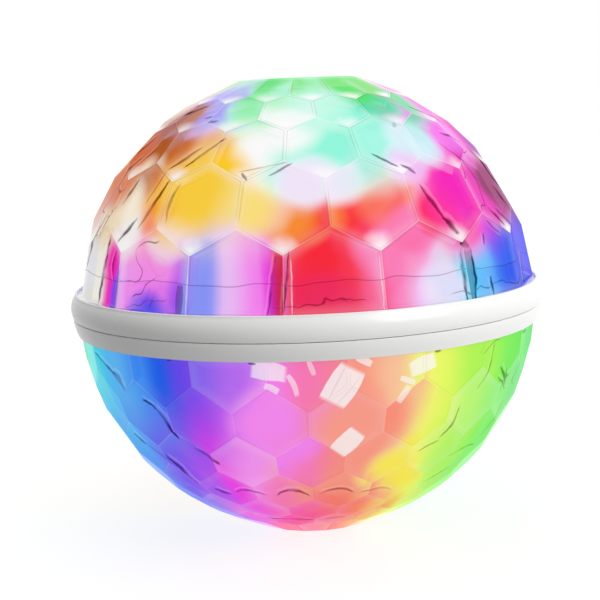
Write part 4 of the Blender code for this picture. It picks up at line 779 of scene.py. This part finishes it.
@dataclass(frozen=True)
class FacetFinish:
    """Clear faceted plastic lit from inside: what a layer of facets shows.

    Spread, shift and wander say what a facet bends into view. Pale shares, which are painted
    highlights, glints and reflections, go to white; dark ones, which are painted lines and painted
    shade, go to the deep colour times the dark tint. The deep colour goes by density to the
    colour times itself, and paint is the part of the colour that other lights show. Offsets
    and widths of lines are in edge widths.
    """

    name: str
    light: LightField
    spread: float
    shift: float
    wander: float
    edge_width: float
    edge_highlight: float
    edge_dark: float
    halo: float
    glare: float
    deepening: float
    dark_tint: float
    paint: float
    collar: float = 0.0
    alpha: float = 1.0
    glow: float = 0.80
    density: float = 0.80
    dark_tint_green: float = 0.6
    halo_reach: float = 0.0030
    halo_tones: Pair = (0.1, 0.9)
    glare_tones: Pair = (0.45, 1.0)
    deep_tones: Pair = (0.5, 0.0)
    edge_core: float = 0.45
    pale_smear: Pair = (0.42, 0.58)
    least_pale: float = 0.2
    dark_smear: Pair = (0.56, 0.46)
    dark_offset: float = 2.2
    dark_width: float = 0.9
    glint_fade: Pair = (0.0020, 0.0072)
    glint_wobble: float = 0.0022
    roughness: Pair = (0.04, 0.10)
    polish: Pair = (0.3, 0.7)
    refraction: float = 1.49
    mirroring: float = 0.003
    rounding: float = 0.0005
    ripple: float = 0.25
    bump: float = 0.30
    bump_distance: float = 0.0003

    def material(self, groups: Groups) -> bpy.types.Material:
        """Build the node material.

        Args:
            groups: the shared node groups.

        Returns:
            The material.
        """
        material, graph, shader = new_material(self.name)
        facet = graph.group(groups.facet, {"Spread": self.spread, "Shift": self.shift,
                                           "Wander": self.wander})
        place = facet["Place"]
        tone, gap = graph.attribute("facet_tone"), graph.attribute("edge_gap")
        pale, dark = self.edges(graph, place, tone, gap)
        pale, dark = self.marks(graph, groups, place, pale, dark)
        crease, under = Collar().masks(graph, place, self.collar)
        dark = graph.most(dark, crease)
        colour = graph.group(groups.lights[self.light.name], {"Direction": facet["Direction"]})["Colour"]
        deep = graph.mix(self.density, colour, graph.tinted(colour, colour))
        # Painted shade under the upper crease, and a random deepening by tone.
        deeper = graph.most(under, graph.fade(tone, *self.deep_tones, 0.0, self.deepening))
        # The painted highlights, glints and reflections go to white.
        colour = graph.mix(pale, graph.mix(deeper, colour, deep), Hue.WHITE.linear)
        # The painted lines and painted shade go to the deep colour times the dark tint.
        dark_tint = (self.dark_tint, self.dark_tint * self.dark_tint_green, self.dark_tint, 1.0)
        colour = graph.mix(dark, colour, graph.tinted(deep, dark_tint))
        ripple = graph.times(graph.noise(place, Pattern.RIPPLE), self.ripple)
        height = graph.math("ADD", graph.fade(gap, 0.0, self.rounding), ripple)
        graph.feed(shader, {
            "Base Color": graph.tinted(colour, grey(self.paint)),
            "Emission Color": colour, "Emission Strength": self.glow,
            "Roughness": graph.fade(graph.noise(place, Pattern.POLISH), *self.polish, *self.roughness),
            "IOR": self.refraction, "Specular IOR Level": self.mirroring,
            "Normal": graph.bump(height, self.bump, self.bump_distance)})
        if self.alpha < 1:
            solid = graph.math("MULTIPLY_ADD", graph.most(pale, dark), 1 - self.alpha, self.alpha, clamp=True)
            graph.feed(shader, {"Alpha": solid})
        return material

    def edges(self, graph: Graph, place: Socket, tone: Socket, gap: Socket) -> tuple[Socket, Socket]:
        """Draw the facet's painted halo of light, its painted glare, the painted highlight along its edge and
        the dark line beside it.

        Args:
            graph: the material's graph.
            place: the place from the ball's middle.
            tone: the facet's own random number.
            gap: the distance to the facet's edge.

        Returns:
            How pale and how dark the facet is there.
        """
        smear = graph.noise(place, Pattern.SMEAR)
        # Painted halo of light near the facet's edge, and painted glare on the facets of high tone.
        halo = graph.fade(gap, 0.0, self.halo_reach, 1.0, 0.0)
        pale = graph.times_plus(halo, graph.fade(tone, *self.halo_tones, 0.0, self.halo),
                                graph.fade(tone, *self.glare_tones, 0.0, self.glare))
        # Painted highlight along the facet's edge.
        line = graph.fade(gap, self.edge_width * self.edge_core, self.edge_width, 1.0, 0.0)
        line = graph.times(line, graph.fade(smear, *self.pale_smear, self.edge_highlight * self.least_pale,
                                            self.edge_highlight))
        beside = graph.size(graph.less(gap, self.edge_width * self.dark_offset))
        dark = graph.times(graph.fade(beside, 0.0, self.edge_width * self.dark_width, 1.0, 0.0),
                           graph.fade(smear, *self.dark_smear, 0.0, self.edge_dark))
        return graph.most(pale, line), dark

    def marks(self, graph: Graph, groups: Groups, place: Socket, pale: Socket,
              dark: Socket) -> tuple[Socket, Socket]:
        """Add the painted glint at the facet's foot, its curled lines of painted bent reflection and its
        painted streaks.

        Args:
            graph: the material's graph.
            groups: the shared node groups.
            place: the place from the ball's middle.
            pale: how pale the facet is without them.
            dark: how dark the facet is without them.

        Returns:
            How pale and how dark the facet is with them.
        """
        # Painted glint at the facet's foot.
        away = graph.measure("DISTANCE", place, graph.attribute("facet_foot", "Vector"))
        away = graph.times_plus(graph.noise(place, Pattern.GLINT), self.glint_wobble, away)
        glint = graph.times(graph.fade(away, *self.glint_fade, 1.0, 0.0), graph.attribute("facet_glint"))
        curl = graph.group(groups.curl, {"Place": place})["Line"]
        pale = graph.most(pale, glint)
        dark = graph.most(dark, graph.times(curl, graph.attribute("facet_curl")))
        # Painted streaks: dark lines and shade, white reflections and highlights.
        for index in range(STREAKS_PER_FACET):
            inputs = {part.title(): graph.attribute("streak_%d_%s" % (index, part), "Vector")
                      for part in STREAK_PARTS}
            streak = graph.group(groups.streak, {"Place": place, **inputs})
            dark = graph.most(dark, streak["Deep"])
            pale = graph.most(pale, streak["White"])
        return pale, dark



@dataclass(frozen=True)
class FacetCut:
    """How a dome is cut into columns and rows of facets.

    The first corner is the latitude of the corners between the first row's facets, and the
    turn is the whole cut's, both in degrees. The shoulder is the height of the first row's foot.
    """

    columns: int
    rows: int
    first_corner: float
    turn: float
    shoulder: float
    tolerance: float = 0.0000001

    def tilts(self) -> list[Pair]:
        """Find how each row of facets lies on a sphere of radius one.

        Returns:
            The tilt and distance of each row, from the belt up.
        """
        narrowing = math.cos(math.pi / self.columns)
        start = math.asin(self.shoulder / DOME_RADIUS)
        side = math.radians(self.first_corner)
        tilt = math.atan(narrowing * (math.cos(start) - math.cos(side)) / (math.sin(side) - math.sin(start)))
        distance = narrowing * math.cos(side) * math.cos(tilt) + math.sin(side) * math.sin(tilt)
        found = [(tilt, distance)]
        peak = tilt + math.acos(distance)
        while len(found) < self.rows:
            fall = math.cos(side) - narrowing * math.cos(peak)
            tilt = math.atan(fall / (math.sin(peak) - math.sin(side)))
            distance = math.cos(tilt - side)
            reach = math.hypot(narrowing * math.cos(tilt), math.sin(tilt))
            lean = math.atan2(math.sin(tilt), narrowing * math.cos(tilt))
            side, peak = lean + math.acos(distance / reach), 2 * tilt - side
            found.append((tilt, distance))
        return found

    def shape(self, inset: float) -> bmesh.types.BMesh:
        """Cut the dome out of a block, one plane for each facet.

        Args:
            inset: how far the facets and the flat top are moved in.

        Returns:
            The facets and the flat top as a mesh that is open at its foot.
        """
        bm = bmesh.new()
        bmesh.ops.create_cone(bm, cap_ends=True, segments=self.columns, radius1=2 * DOME_RADIUS,
                              radius2=2 * DOME_RADIUS, depth=4 * DOME_RADIUS)
        down = Vector((0, 0, -1))
        self.slice_off(bm, Vector((0, 0, self.shoulder)), down)
        self.slice_off(bm, Vector((0, 0, HALF_HEIGHT - inset)), Vector((0, 0, 1)))
        for row, (tilt, distance) in enumerate(self.tilts()):
            for column in range(self.columns):
                azimuth = (math.radians(self.turn) - math.pi / 2
                           + math.pi * (row + 1 + 2 * column) / self.columns)
                normal = Vector((math.cos(tilt) * math.cos(azimuth), math.cos(tilt) * math.sin(azimuth),
                                 math.sin(tilt)))
                self.slice_off(bm, normal * (DOME_RADIUS * distance - inset), normal)
        bmesh.ops.recalc_face_normals(bm, faces=bm.faces)
        feet = [face for face in bm.faces if face.normal.dot(down) > NEARLY_ALIGNED]
        bmesh.ops.delete(bm, geom=feet, context="FACES_ONLY")
        return bm

    def slice_off(self, bm: bmesh.types.BMesh, point: Vector, normal: Vector) -> None:
        """Cut away what lies beyond a plane, and close the cut with one face.

        Args:
            bm: the mesh.
            point: a point of the plane.
            normal: the side that is cut away.
        """
        everything = bm.verts[:] + bm.edges[:] + bm.faces[:]
        cut = bmesh.ops.bisect_plane(bm, geom=everything, dist=self.tolerance, plane_co=point,
                                     plane_no=normal, clear_outer=True)
        rim = [item for item in cut["geom_cut"] if isinstance(item, bmesh.types.BMEdge)]
        if rim:
            bmesh.ops.contextual_create(bm, geom=rim)


@dataclass
class Facet:
    """One flat facet: its corners and plane from the ball's middle, and what it shows."""

    corners: list[Vector]
    middle: Vector
    normal: Vector
    lean: Vector
    tone: float
    streaks: list[Streak] = field(default_factory=list)
    curl_places: tuple[Pair, ...] = ((-64, 27), (59, 24), (-36, 8), (58, -14))
    curl_nearness: float = 0.984
    least_point: float = 0.0008
    least_height: float = 0.006
    glint_range: Pair = (0.60, 0.98)

    @property
    def distance(self) -> float:
        """How far the facet's plane is from the ball's middle."""
        return self.middle.dot(self.normal)

    @property
    def foot(self) -> Vector:
        """The corner nearest the belt."""
        return min(self.corners, key=lambda corner: abs(corner.z))

    @property
    def curl(self) -> float:
        """One if curled lines show in the facet, as they do near a few places, and zero if not."""
        out = self.middle.normalized()
        return float(any(out.dot(direction(*place)) > self.curl_nearness for place in self.curl_places))

    @property
    def glint(self) -> float:
        """How white the lowest corner is: in the facets over the first row that stand on a point."""
        low = sorted(abs(corner.z) for corner in self.corners)
        if low[1] - low[0] <= self.least_point or self.middle.z <= self.least_height:
            return 0.0
        least, most = self.glint_range
        return least + (most - least) * self.tone

    def look(self, index: int) -> tuple[Vector, ...]:
        """Describe one streak of the facet.

        Args:
            index: which of its streaks.

        Returns:
            A vector for each of STREAK_PARTS, and nothing but softness if there is no such streak.
        """
        if index >= len(self.streaks):
            return Vector(), Vector(), Vector(), Vector((0.0, 0.0, 1.0))
        streak = self.streaks[index]
        return streak.frame(self.normal, self.distance) + (Vector((streak.bend, streak.depth, streak.soft)),)


@dataclass
class FacetLayer:
    """One layer of a dome's facets as fans of triangles that know their facet and its edges."""

    name: str
    cut: FacetCut
    inset: float
    upside_down: bool
    seed: int
    streaks: tuple[Streak, ...] = ()

    def facets(self) -> list[Facet]:
        """Cut the layer.

        Returns:
            Its facets in a fixed order.
        """
        bm = self.cut.shape(self.inset)
        if self.upside_down:
            bm.transform(Matrix.Rotation(math.pi, 4, "X"))
        bm.normal_update()
        chance = random.Random(self.seed)
        found = []
        ordered = sorted(bm.faces, key=lambda item: [round(part, 6) for part in item.calc_center_median()])
        for face in ordered:
            lean = Vector([chance.uniform(-1, 1) for _ in range(3)])
            found.append(Facet([vert.co.copy() for vert in face.verts], face.calc_center_median(),
                               face.normal.copy(), lean, chance.random()))
        bm.free()
        return found

    def share_out(self, facets: list[Facet]) -> None:
        """Give each streak to the facets that it crosses.

        Args:
            facets: the layer's facets.
        """
        for streak in self.streaks:
            for out in streak.samples():
                facing = [facet for facet in facets if out.dot(facet.normal) > LEAST_FACING]
                facet = min(facing, key=lambda item: item.distance / out.dot(item.normal))
                if streak not in facet.streaks and len(facet.streaks) < STREAKS_PER_FACET:
                    facet.streaks.append(streak)

    def build(self, material: bpy.types.Material, body: str, slot: str) -> bpy.types.Object:
        """Make the layer's object.

        Args:
            material: what the facets are made of.
            body: the CAD body that it rides on.
            slot: not used.

        Returns:
            The new piece.
        """
        facets = self.facets()
        self.share_out(facets)
        points: list[Vector] = []
        faces: list[tuple[int, int, int]] = []
        gaps: list[float] = []
        owners: list[Facet] = []
        for facet in facets:
            base = len(points)
            points += [facet.middle] + facet.corners
            for index, here in enumerate(facet.corners):
                following = (index + 1) % len(facet.corners)
                along = (facet.corners[following] - here).normalized()
                away = facet.middle - here
                faces.append((base, base + 1 + index, base + 1 + following))
                gaps += [(away - along * away.dot(along)).length, 0.0, 0.0]
                owners.append(facet)
        mesh = bpy.data.meshes.new(self.name)
        mesh.from_pydata([point + CENTRE for point in points], [], faces)
        mesh.attributes.new("edge_gap", "FLOAT", "CORNER").data.foreach_set("value", gaps)
        for name, values in (("facet_tone", [facet.tone for facet in owners]),
                             ("facet_curl", [facet.curl for facet in owners]),
                             ("facet_glint", [facet.glint for facet in owners])):
            mesh.attributes.new(name, "FLOAT", "FACE").data.foreach_set("value", values)
        self.keep(mesh, "facet_middle", [facet.middle for facet in owners])
        self.keep(mesh, "facet_lean", [facet.lean for facet in owners])
        self.keep(mesh, "facet_foot", [facet.foot for facet in owners])
        for index in range(STREAKS_PER_FACET):
            looks = [facet.look(index) for facet in owners]
            for part, vectors in zip(STREAK_PARTS, zip(*looks)):
                self.keep(mesh, "streak_%d_%s" % (index, part), vectors)
        return new_piece(self.name, mesh, material, body)

    @staticmethod
    def keep(mesh: bpy.types.Mesh, name: str, vectors: Sequence[Vector]) -> None:
        """Keep one vector for each triangle in the mesh."""
        flat = [part for vector in vectors for part in vector]
        mesh.attributes.new(name, "FLOAT_VECTOR", "FACE").data.foreach_set("vector", flat)


def new_object(name: str, data: bpy.types.ID) -> bpy.types.Object:
    """Put a new object into the scene.

    Args:
        name: the object's name.
        data: its mesh, lamp or camera.

    Returns:
        The object.
    """
    made = bpy.data.objects.new(name, data)
    bpy.context.scene.collection.objects.link(made)
    return made


def new_piece(name: str, mesh: bpy.types.Mesh, material: bpy.types.Material, body: str) -> bpy.types.Object:
    """Make a piece that rides on a CAD body.

    Args:
        name: the piece's name.
        mesh: its shape, in the row frame.
        material: its finish.
        body: the CAD body that it moves with.

    Returns:
        The new piece.
    """
    piece = new_object(name, mesh)
    mesh.materials.append(material)
    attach(piece, body)
    log.info("%s rides on %s", name, body)
    return piece


@dataclass(frozen=True)
class Dome:
    """One clear dome: facets outside, and the lit facets of its inner wall seen through them."""

    side: str
    upside_down: bool
    cut: FacetCut
    skin: FacetFinish
    inside: FacetFinish
    streaks: tuple[Streak, ...]
    wall: float = 0.0026
    skin_seed: int = 11
    inside_seed: int = 23

    def build(self, groups: Groups) -> None:
        """Make both layers and put the outer one in place of the plain dome.

        Args:
            groups: the shared node groups.
        """
        body, slot = self.side + "_half", "clear_%s_dome" % self.side
        outer = FacetLayer(self.side + "_facets", self.cut, 0.0, self.upside_down, self.skin_seed,
                           self.streaks)
        piece = outer.build(self.skin.material(groups), body, slot)
        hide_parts(self.side + "_dome")
        inner = FacetLayer(self.side + "_inner_facets", self.cut, self.wall, self.upside_down,
                           self.inside_seed)
        inner.build(self.inside.material(groups), body, slot)


UPPER_DOME = Dome(
    "upper", False, FacetCut(columns=16, rows=5, first_corner=18.0, turn=-5.0, shoulder=0.0051),
    FacetFinish("upper_clear_skin", UPPER_LIGHT, spread=1.06, shift=0.0030, wander=0.006, alpha=0.82,
                paint=0.18, edge_width=0.00018, edge_highlight=0.40, edge_dark=0.30, halo=0.14, collar=0.50,
                glare=0.07, deepening=0.36, dark_tint=0.14),
    FacetFinish("upper_lit_wall", UPPER_LIGHT, spread=1.15, shift=0.0050, wander=0.012,
                paint=0.15, edge_width=0.00030, edge_highlight=0.05, edge_dark=0.40, halo=0.10, collar=0.30,
                glare=0.10, deepening=0.15, dark_tint=0.26),
    UPPER_STREAKS)
LOWER_DOME = Dome(
    "lower", True, FacetCut(columns=20, rows=7, first_corner=11.0, turn=171.5, shoulder=0.0047),
    FacetFinish("lower_clear_skin", LOWER_LIGHT, spread=1.04, shift=0.0040, wander=0.003, alpha=0.82,
                paint=0.18, edge_width=0.00018, edge_highlight=0.14, edge_dark=0.12, halo=0.07,
                glare=0.12, deepening=0.30, dark_tint=0.24),
    FacetFinish("lower_lit_wall", LOWER_LIGHT, spread=1.10, shift=0.0035, wander=0.006,
                paint=0.15, edge_width=0.00030, edge_highlight=0.05, edge_dark=0.20, halo=0.05,
                glare=0.08, deepening=0.10, dark_tint=0.26),
    LOWER_STREAKS)


def turned(name: str, outline: list[Pair], segments: int) -> bpy.types.Mesh:
    """Turn a closed outline of (radius, height) points about the ball's axis.

    Args:
        name: the mesh's name.
        outline: the section's points, heights from the ball's middle.
        segments: the steps round the axis.

    Returns:
        A closed mesh in the row frame.
    """
    count = len(outline)
    points, faces = [], []
    for step in range(segments):
        angle = 2 * math.pi * step / segments
        points += [(radius * math.cos(angle), radius * math.sin(angle), height + CENTRE.z)
                   for radius, height in outline]
        here, after = step * count, (step + 1) % segments * count
        for index in range(count):
            following = (index + 1) % count
            faces.append((here + index, after + index, after + following, here + following))
    mesh = bpy.data.meshes.new(name)
    mesh.from_pydata(points, [], faces)
    bm = bmesh.new()
    bm.from_mesh(mesh)
    bmesh.ops.recalc_face_normals(bm, faces=bm.faces)
    bm.to_mesh(mesh)
    bm.free()
    mesh.shade_smooth()
    mesh.set_sharp_from_angle(angle=SHARP_ANGLE)
    return mesh


@dataclass(frozen=True)
class Opening:
    """A window in the lower ring for a CAD node: the node, its azimuth and half its width."""

    node: str
    azimuth: float
    half_width: float


@dataclass
class Belt:
    """The glossy white belt: a bulging upper ring and a tapered lower one.

    Heights are from the ball's middle. A rounding is a row of steps in and away from the
    edge, in corner sizes.
    """

    radius: float = 0.06200
    top: float = 0.0055
    foot: float = -0.0006
    widest: float = 0.0016
    bulge: float = 0.0015
    corner: float = 0.00045
    bore: float = 0.05845
    lip: float = 0.0602
    lip_chamfer: Pair = (0.00012, 0.0001)
    rebate: Pair = (0.0022, 0.0013)
    ledge: float = 0.0007
    top_rounding: tuple[Pair, ...] = ((0.55, 0.0), (0.18, 0.25))
    foot_rounding: tuple[Pair, ...] = ((0.15, 0.15), (0.5, 0.0))
    foot_share: float = 0.6
    lower_top: float = -0.00075
    lower_foot: float = -0.0051
    lower_drop: float = 0.0009
    lower_curve: float = 1.6
    lower_edge: float = 0.4
    lower_rounding: tuple[Pair, ...] = ((0.2, 0.25), (0.6, 0.0))
    upper_steps: int = 14
    lower_steps: int = 8
    segments: int = 192
    cuts: tuple[Opening, ...] = (
        Opening("charging_socket", azimuth=90.0, half_width=0.00395),
        Opening("power_button", azimuth=109.0, half_width=0.0037))
    cut_margin: float = 0.0002
    cut_radius: float = 0.0605
    cut_depth: float = 0.008
    finish: Finish = Finish("belt_white", "ebebea", 0.28, fineness=1400.0, depth=0.03, bump=0.03, coat=0.12)

    def outside(self, height: float) -> float:
        """Radius of the upper ring's outside at a height."""
        share = (height - self.widest) / (self.top - self.widest)
        return self.radius - self.bulge * share ** 2

    def upper_outline(self) -> list[Pair]:
        """Draw the section of the upper ring, with a rounded top and foot edge.

        Returns:
            Its points as radius and height.
        """
        top, foot = self.top - self.corner, self.foot + self.corner * self.foot_share
        heights = [top + (foot - top) * step / self.upper_steps for step in range(self.upper_steps + 1)]
        face = [(self.outside(height), height) for height in heights]
        crown = [(self.lip, self.top - self.lip_chamfer[1]), (self.lip + self.lip_chamfer[0], self.top)]
        crown += [(face[0][0] - self.corner * inward, self.top - self.corner * down)
                  for inward, down in self.top_rounding]
        hem = [(face[-1][0] - self.corner * inward, self.foot + self.corner * rise)
               for inward, rise in self.foot_rounding]
        inner, shelf = self.bore + self.rebate[0], self.foot + self.rebate[1]
        return crown + face + hem + [(inner, self.foot), (inner, shelf), (self.bore, shelf),
                                     (self.bore, self.top - self.ledge), (self.lip, self.top - self.ledge)]

    def lower_outline(self) -> list[Pair]:
        """Draw the section of the lower ring, with a rounded foot edge.

        Returns:
            Its points as radius and height.
        """
        head = self.outside(self.foot)
        edge = self.corner * self.lower_edge
        height = self.lower_foot + self.corner - self.lower_top + edge
        face = []
        for step in range(self.lower_steps + 1):
            share = step / self.lower_steps
            face.append((head - self.lower_drop * share ** self.lower_curve,
                         self.lower_top - edge + height * share))
        hem = [(face[-1][0] - self.corner * inward, self.lower_foot + self.corner * rise)
               for inward, rise in self.lower_rounding]
        shelf = self.lower_foot + self.ledge
        return [(self.bore, self.lower_top), (head - edge, self.lower_top)] + face + hem + [
            (self.lip, self.lower_foot), (self.lip, shelf), (self.bore, shelf)]

    def openings(self) -> bpy.types.Object:
        """Make the blocks that cut the socket's pocket and the button's window.

        Returns:
            All of them as one object.
        """
        bm = bmesh.new()
        for cut in self.cuts:
            low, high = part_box(cut.node)
            rise = (high.z - low.z) / 2 + self.cut_margin
            turn = Matrix.Rotation(math.radians(cut.azimuth), 4, "Z")
            middle = Matrix.Translation((self.cut_radius, 0, (low.z + high.z) / 2))
            size = Matrix.Diagonal((self.cut_depth, 2 * cut.half_width, 2 * rise, 1))
            bmesh.ops.create_cube(bm, size=1.0, matrix=turn @ middle @ size)
        mesh = bpy.data.meshes.new("belt_openings")
        bm.to_mesh(mesh)
        bm.free()
        return new_object("belt_openings", mesh)

    def ring(self, side: str, outline: list[Pair], groups: Groups) -> bpy.types.Object:
        """Make one ring and put it in place of the plain one.

        Args:
            side: upper or lower.
            outline: its section.
            groups: the shared node groups.

        Returns:
            The new piece.
        """
        name = side + "_belt_ring"
        piece = new_piece(name, turned(name, outline, self.segments), self.finish.material(groups),
                          side + "_half")
        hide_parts(side + "_belt")
        return piece

    def build(self, groups: Groups) -> None:
        """Make both rings, and cut the openings in the lower one.

        Args:
            groups: the shared node groups.
        """
        self.ring("upper", self.upper_outline(), groups)
        lower = self.ring("lower", self.lower_outline(), groups)
        cutter = self.openings()
        modifier = lower.modifiers.new("openings", "BOOLEAN")
        modifier.object = cutter
        modifier.solver = "EXACT"
        bpy.context.view_layer.update()
        graph = bpy.context.evaluated_depsgraph_get()
        lower.data = bpy.data.meshes.new_from_object(lower.evaluated_get(graph))
        lower.modifiers.clear()
        bpy.data.objects.remove(cutter, do_unlink=True)


@dataclass
class Works:
    """Everything inside the ball, and the socket and button at its back: finishes for the CAD pieces."""

    finishes: tuple[tuple[Finish, tuple[str, ...]], ...] = (
        (Finish("satin_white_moulding", "e4e4e2", 0.42, depth=0.05, bump=0.12),
         ("deck", "keeper_plate", "reflector_bowl", "battery_cradle")),
        (Finish("glide_ring_nylon", "ecebe0", 0.30, depth=0.06), ("glide_ring",)),
        (Finish("gear_acetal_natural", "e6e3d6", 0.34, depth=0.07, bump=0.12), ("ring_gear",)),
        (Finish("pinion_acetal_natural", "d9d5c6", 0.34, depth=0.08, bump=0.12), ("pinion",)),
        (Finish("white_solder_mask", "dfe6e0", 0.35, fineness=2600.0, depth=0.10, coat=0.2),
         ("upper_light_board", "lower_light_board", "control_board")),
        (Finish("led_package_lit", "fff4e6", 0.25, depth=0.04, glow=2.0), ("upper_led", "lower_led")),
        # The caps glow with the painted light of the LEDs behind them.
        (Finish("frosted_lens_cap_lit", "f6f4fb", 0.55, depth=0.05, glow=0.5),
         ("upper_light_cap", "lower_light_cap")),
        (Finish("bright_steel_sheet", "b9bcc0", 0.26, metallic=1.0, fineness=1800.0),
         ("geared_motor", "motor_shaft", "post_frame", "charging_socket", "microphone")),
        (Finish("screw_steel_zinc", "9a9ca2", 0.32, metallic=1.0, fineness=3000.0, depth=0.18),
         ("motor_screw", "keeper_screw", "upper_board_screw", "lower_board_screw", "post_screw",
          "cradle_screw", "control_screw")),
        (Finish("bush_brass_turned", "cda35a", 0.28, metallic=1.0), ("shaft_bush",)),
        (Finish("cell_shrink_sleeve", "2d6fae", 0.30, depth=0.06, coat=0.3), ("battery_cell",)),
        (Finish("pad_foam_black", "2c2c2e", 0.92, fineness=4200.0, depth=0.5, bump=0.5), ("battery_pad",)),
        (Finish("black_moulding", "1d1d1f", 0.38, depth=0.2),
         ("control_chip", "socket_tongue", "tact_switch")),
        (Finish("button_gloss_white", "ebebee", 0.20, depth=0.04, coat=0.4),
         ("power_button", "switch_plunger")),
        (Finish("lead_red_sleeve", "b3241c", 0.45, depth=0.1), ("light_lead",)),
    )

    def dress(self, groups: Groups, nodes: dict[str, bpy.types.Object]) -> None:
        """Give each CAD node that shows its finish.

        Args:
            groups: the shared node groups.
            nodes: the CAD nodes by name.
        """
        for finish, names in self.finishes:
            material = finish.material(groups)
            dressed = [node for node in nodes if node.rstrip("_0123456789") in names]
            for node in dressed:
                for slot in nodes[node].material_slots:
                    slot.material = material
            log.info("%s dresses %s", material.name, ", ".join(dressed))


def seen_directly(graph: Graph) -> Socket:
    """Tell the rays that show the background from those that light the object.

    Args:
        graph: the graph to add nodes to.

    Returns:
        One for the rays of the camera, of mirrors and of clear plastic, and zero for others.
    """
    path = graph.add("LightPath", {}).outputs
    return graph.most(path["Is Camera Ray"], graph.most(path["Is Glossy Ray"], path["Is Transmission Ray"]))


@dataclass(frozen=True)
class Softbox:
    """A square lamp that faces the ball: its place, the length of its side and its power in watts."""

    name: str
    place: tuple[float, float, float]
    side: float
    power: float

    def build(self) -> None:
        """Make the lamp."""
        data = bpy.data.lights.new(self.name, "AREA")
        data.size = self.side
        data.energy = self.power
        lamp = new_object(self.name, data)
        lamp.location = self.place
        lamp.rotation_mode = "QUATERNION"
        lamp.rotation_quaternion = (CENTRE - Vector(self.place)).to_track_quat("-Z", "Y")


@dataclass
class Studio:
    """White floor and surroundings, plain soft light, and the camera at the photograph's angle.

    Angles are in degrees and the camera's distance in dome radii. A span is where a level
    changes, in metres on the floor, and a level's pair is its start and end.
    """

    elevation: float = 8.26
    roll: float = -2.24
    distance: float = 6.0
    focal_pixels: float = 1348.9
    middle_pixels: Pair = (306.7, 300.2)
    frame_pixels: float = 600.0
    sensor_width: float = 36.0
    clip_start: float = 0.01
    sky_span: Pair = (-0.90, 0.36)
    sky_level: Pair = (0.13, 0.85)
    floor_size: float = 6.0
    floor_grey: float = 0.16
    floor_roughness: float = 0.9
    foot_span: Pair = (0.04, 0.24)
    foot_level: Pair = (0.86, 1.0)
    side_span: Pair = (-0.12, 0.16)
    side_level: Pair = (0.10, 0.62)
    lamps: tuple[Softbox, ...] = (
        Softbox("key_softbox", (0.55, -0.45, 0.50), side=0.45, power=2.8),
        Softbox("top_softbox", (-0.10, 0.10, 0.75), side=0.50, power=1.4))

    def build(self) -> None:
        """Make the surroundings, the lamps and the camera."""
        scene = bpy.context.scene
        scene.view_settings.view_transform = "Standard"
        self.make_world(scene)
        self.make_floor()
        for lamp in self.lamps:
            lamp.build()
        self.make_camera(scene)

    def make_world(self, scene: bpy.types.Scene) -> None:
        """Make white for the camera, and soft light that is brighter on the right for the rest.

        Args:
            scene: the scene.
        """
        world = bpy.data.worlds.new("white_surroundings")
        scene.world = world
        world.use_nodes = True
        graph = Graph(world.node_tree)
        across = graph.split(graph.coordinates("Generated"))[0]
        level = graph.fade(across, *self.sky_span, *self.sky_level)
        graph.feed(world.node_tree.nodes["Background"],
                   {"Color": grey(1.0), "Strength": graph.most(seen_directly(graph), level)})

    def make_floor(self) -> None:
        """Make a plain white floor that keeps a soft shadow."""
        half = self.floor_size / 2
        mesh = bpy.data.meshes.new("floor")
        mesh.from_pydata([(-half, -half, 0), (half, -half, 0), (half, half, 0), (-half, half, 0)], [],
                         [(0, 1, 2, 3)])
        floor = new_object("floor", mesh)
        material, graph, shader = new_material("white_floor")
        here = graph.coordinates()
        foot = graph.fade(graph.measure("LENGTH", here), *self.foot_span, *self.foot_level)
        side = graph.fade(graph.split(here)[0], *self.side_span, *self.side_level)
        level = graph.most(graph.times(seen_directly(graph), foot), side)
        graph.feed(shader, {
            "Base Color": grey(self.floor_grey), "Roughness": self.floor_roughness,
            "Specular IOR Level": 0.0, "Emission Color": grey(1.0), "Emission Strength": level})
        mesh.materials.append(material)

    def make_camera(self, scene: bpy.types.Scene) -> None:
        """Stand the camera where the photograph was fitted, rolled and shifted as it was.

        Args:
            scene: the scene.
        """
        data = bpy.data.cameras.new("camera")
        data.sensor_width = self.sensor_width
        data.lens = self.focal_pixels / self.frame_pixels * data.sensor_width
        data.shift_x = -(self.middle_pixels[0] - self.frame_pixels / 2) / self.frame_pixels
        data.shift_y = (self.middle_pixels[1] - self.frame_pixels / 2) / self.frame_pixels
        data.clip_start = self.clip_start
        camera = new_object("camera", data)
        angle = math.radians(self.elevation)
        back = Vector((0, -math.cos(angle), math.sin(angle)))
        camera.location = CENTRE + back * self.distance * DOME_RADIUS
        camera.rotation_mode = "QUATERNION"
        level = (-back).to_track_quat("-Z", "Y")
        camera.rotation_quaternion = level @ Quaternion((0, 0, 1), math.radians(self.roll))
        scene.camera = camera


def main() -> None:
    """Dress the ball and set up the studio."""
    logging.basicConfig(level=logging.INFO, format="%(name)s: %(message)s")
    groups = Groups()
    Works().dress(groups, frame["nodes"])
    UPPER_DOME.build(groups)
    LOWER_DOME.build(groups)
    Belt().build(groups)
    Studio().build()


if __name__ == "__main__":
    main()
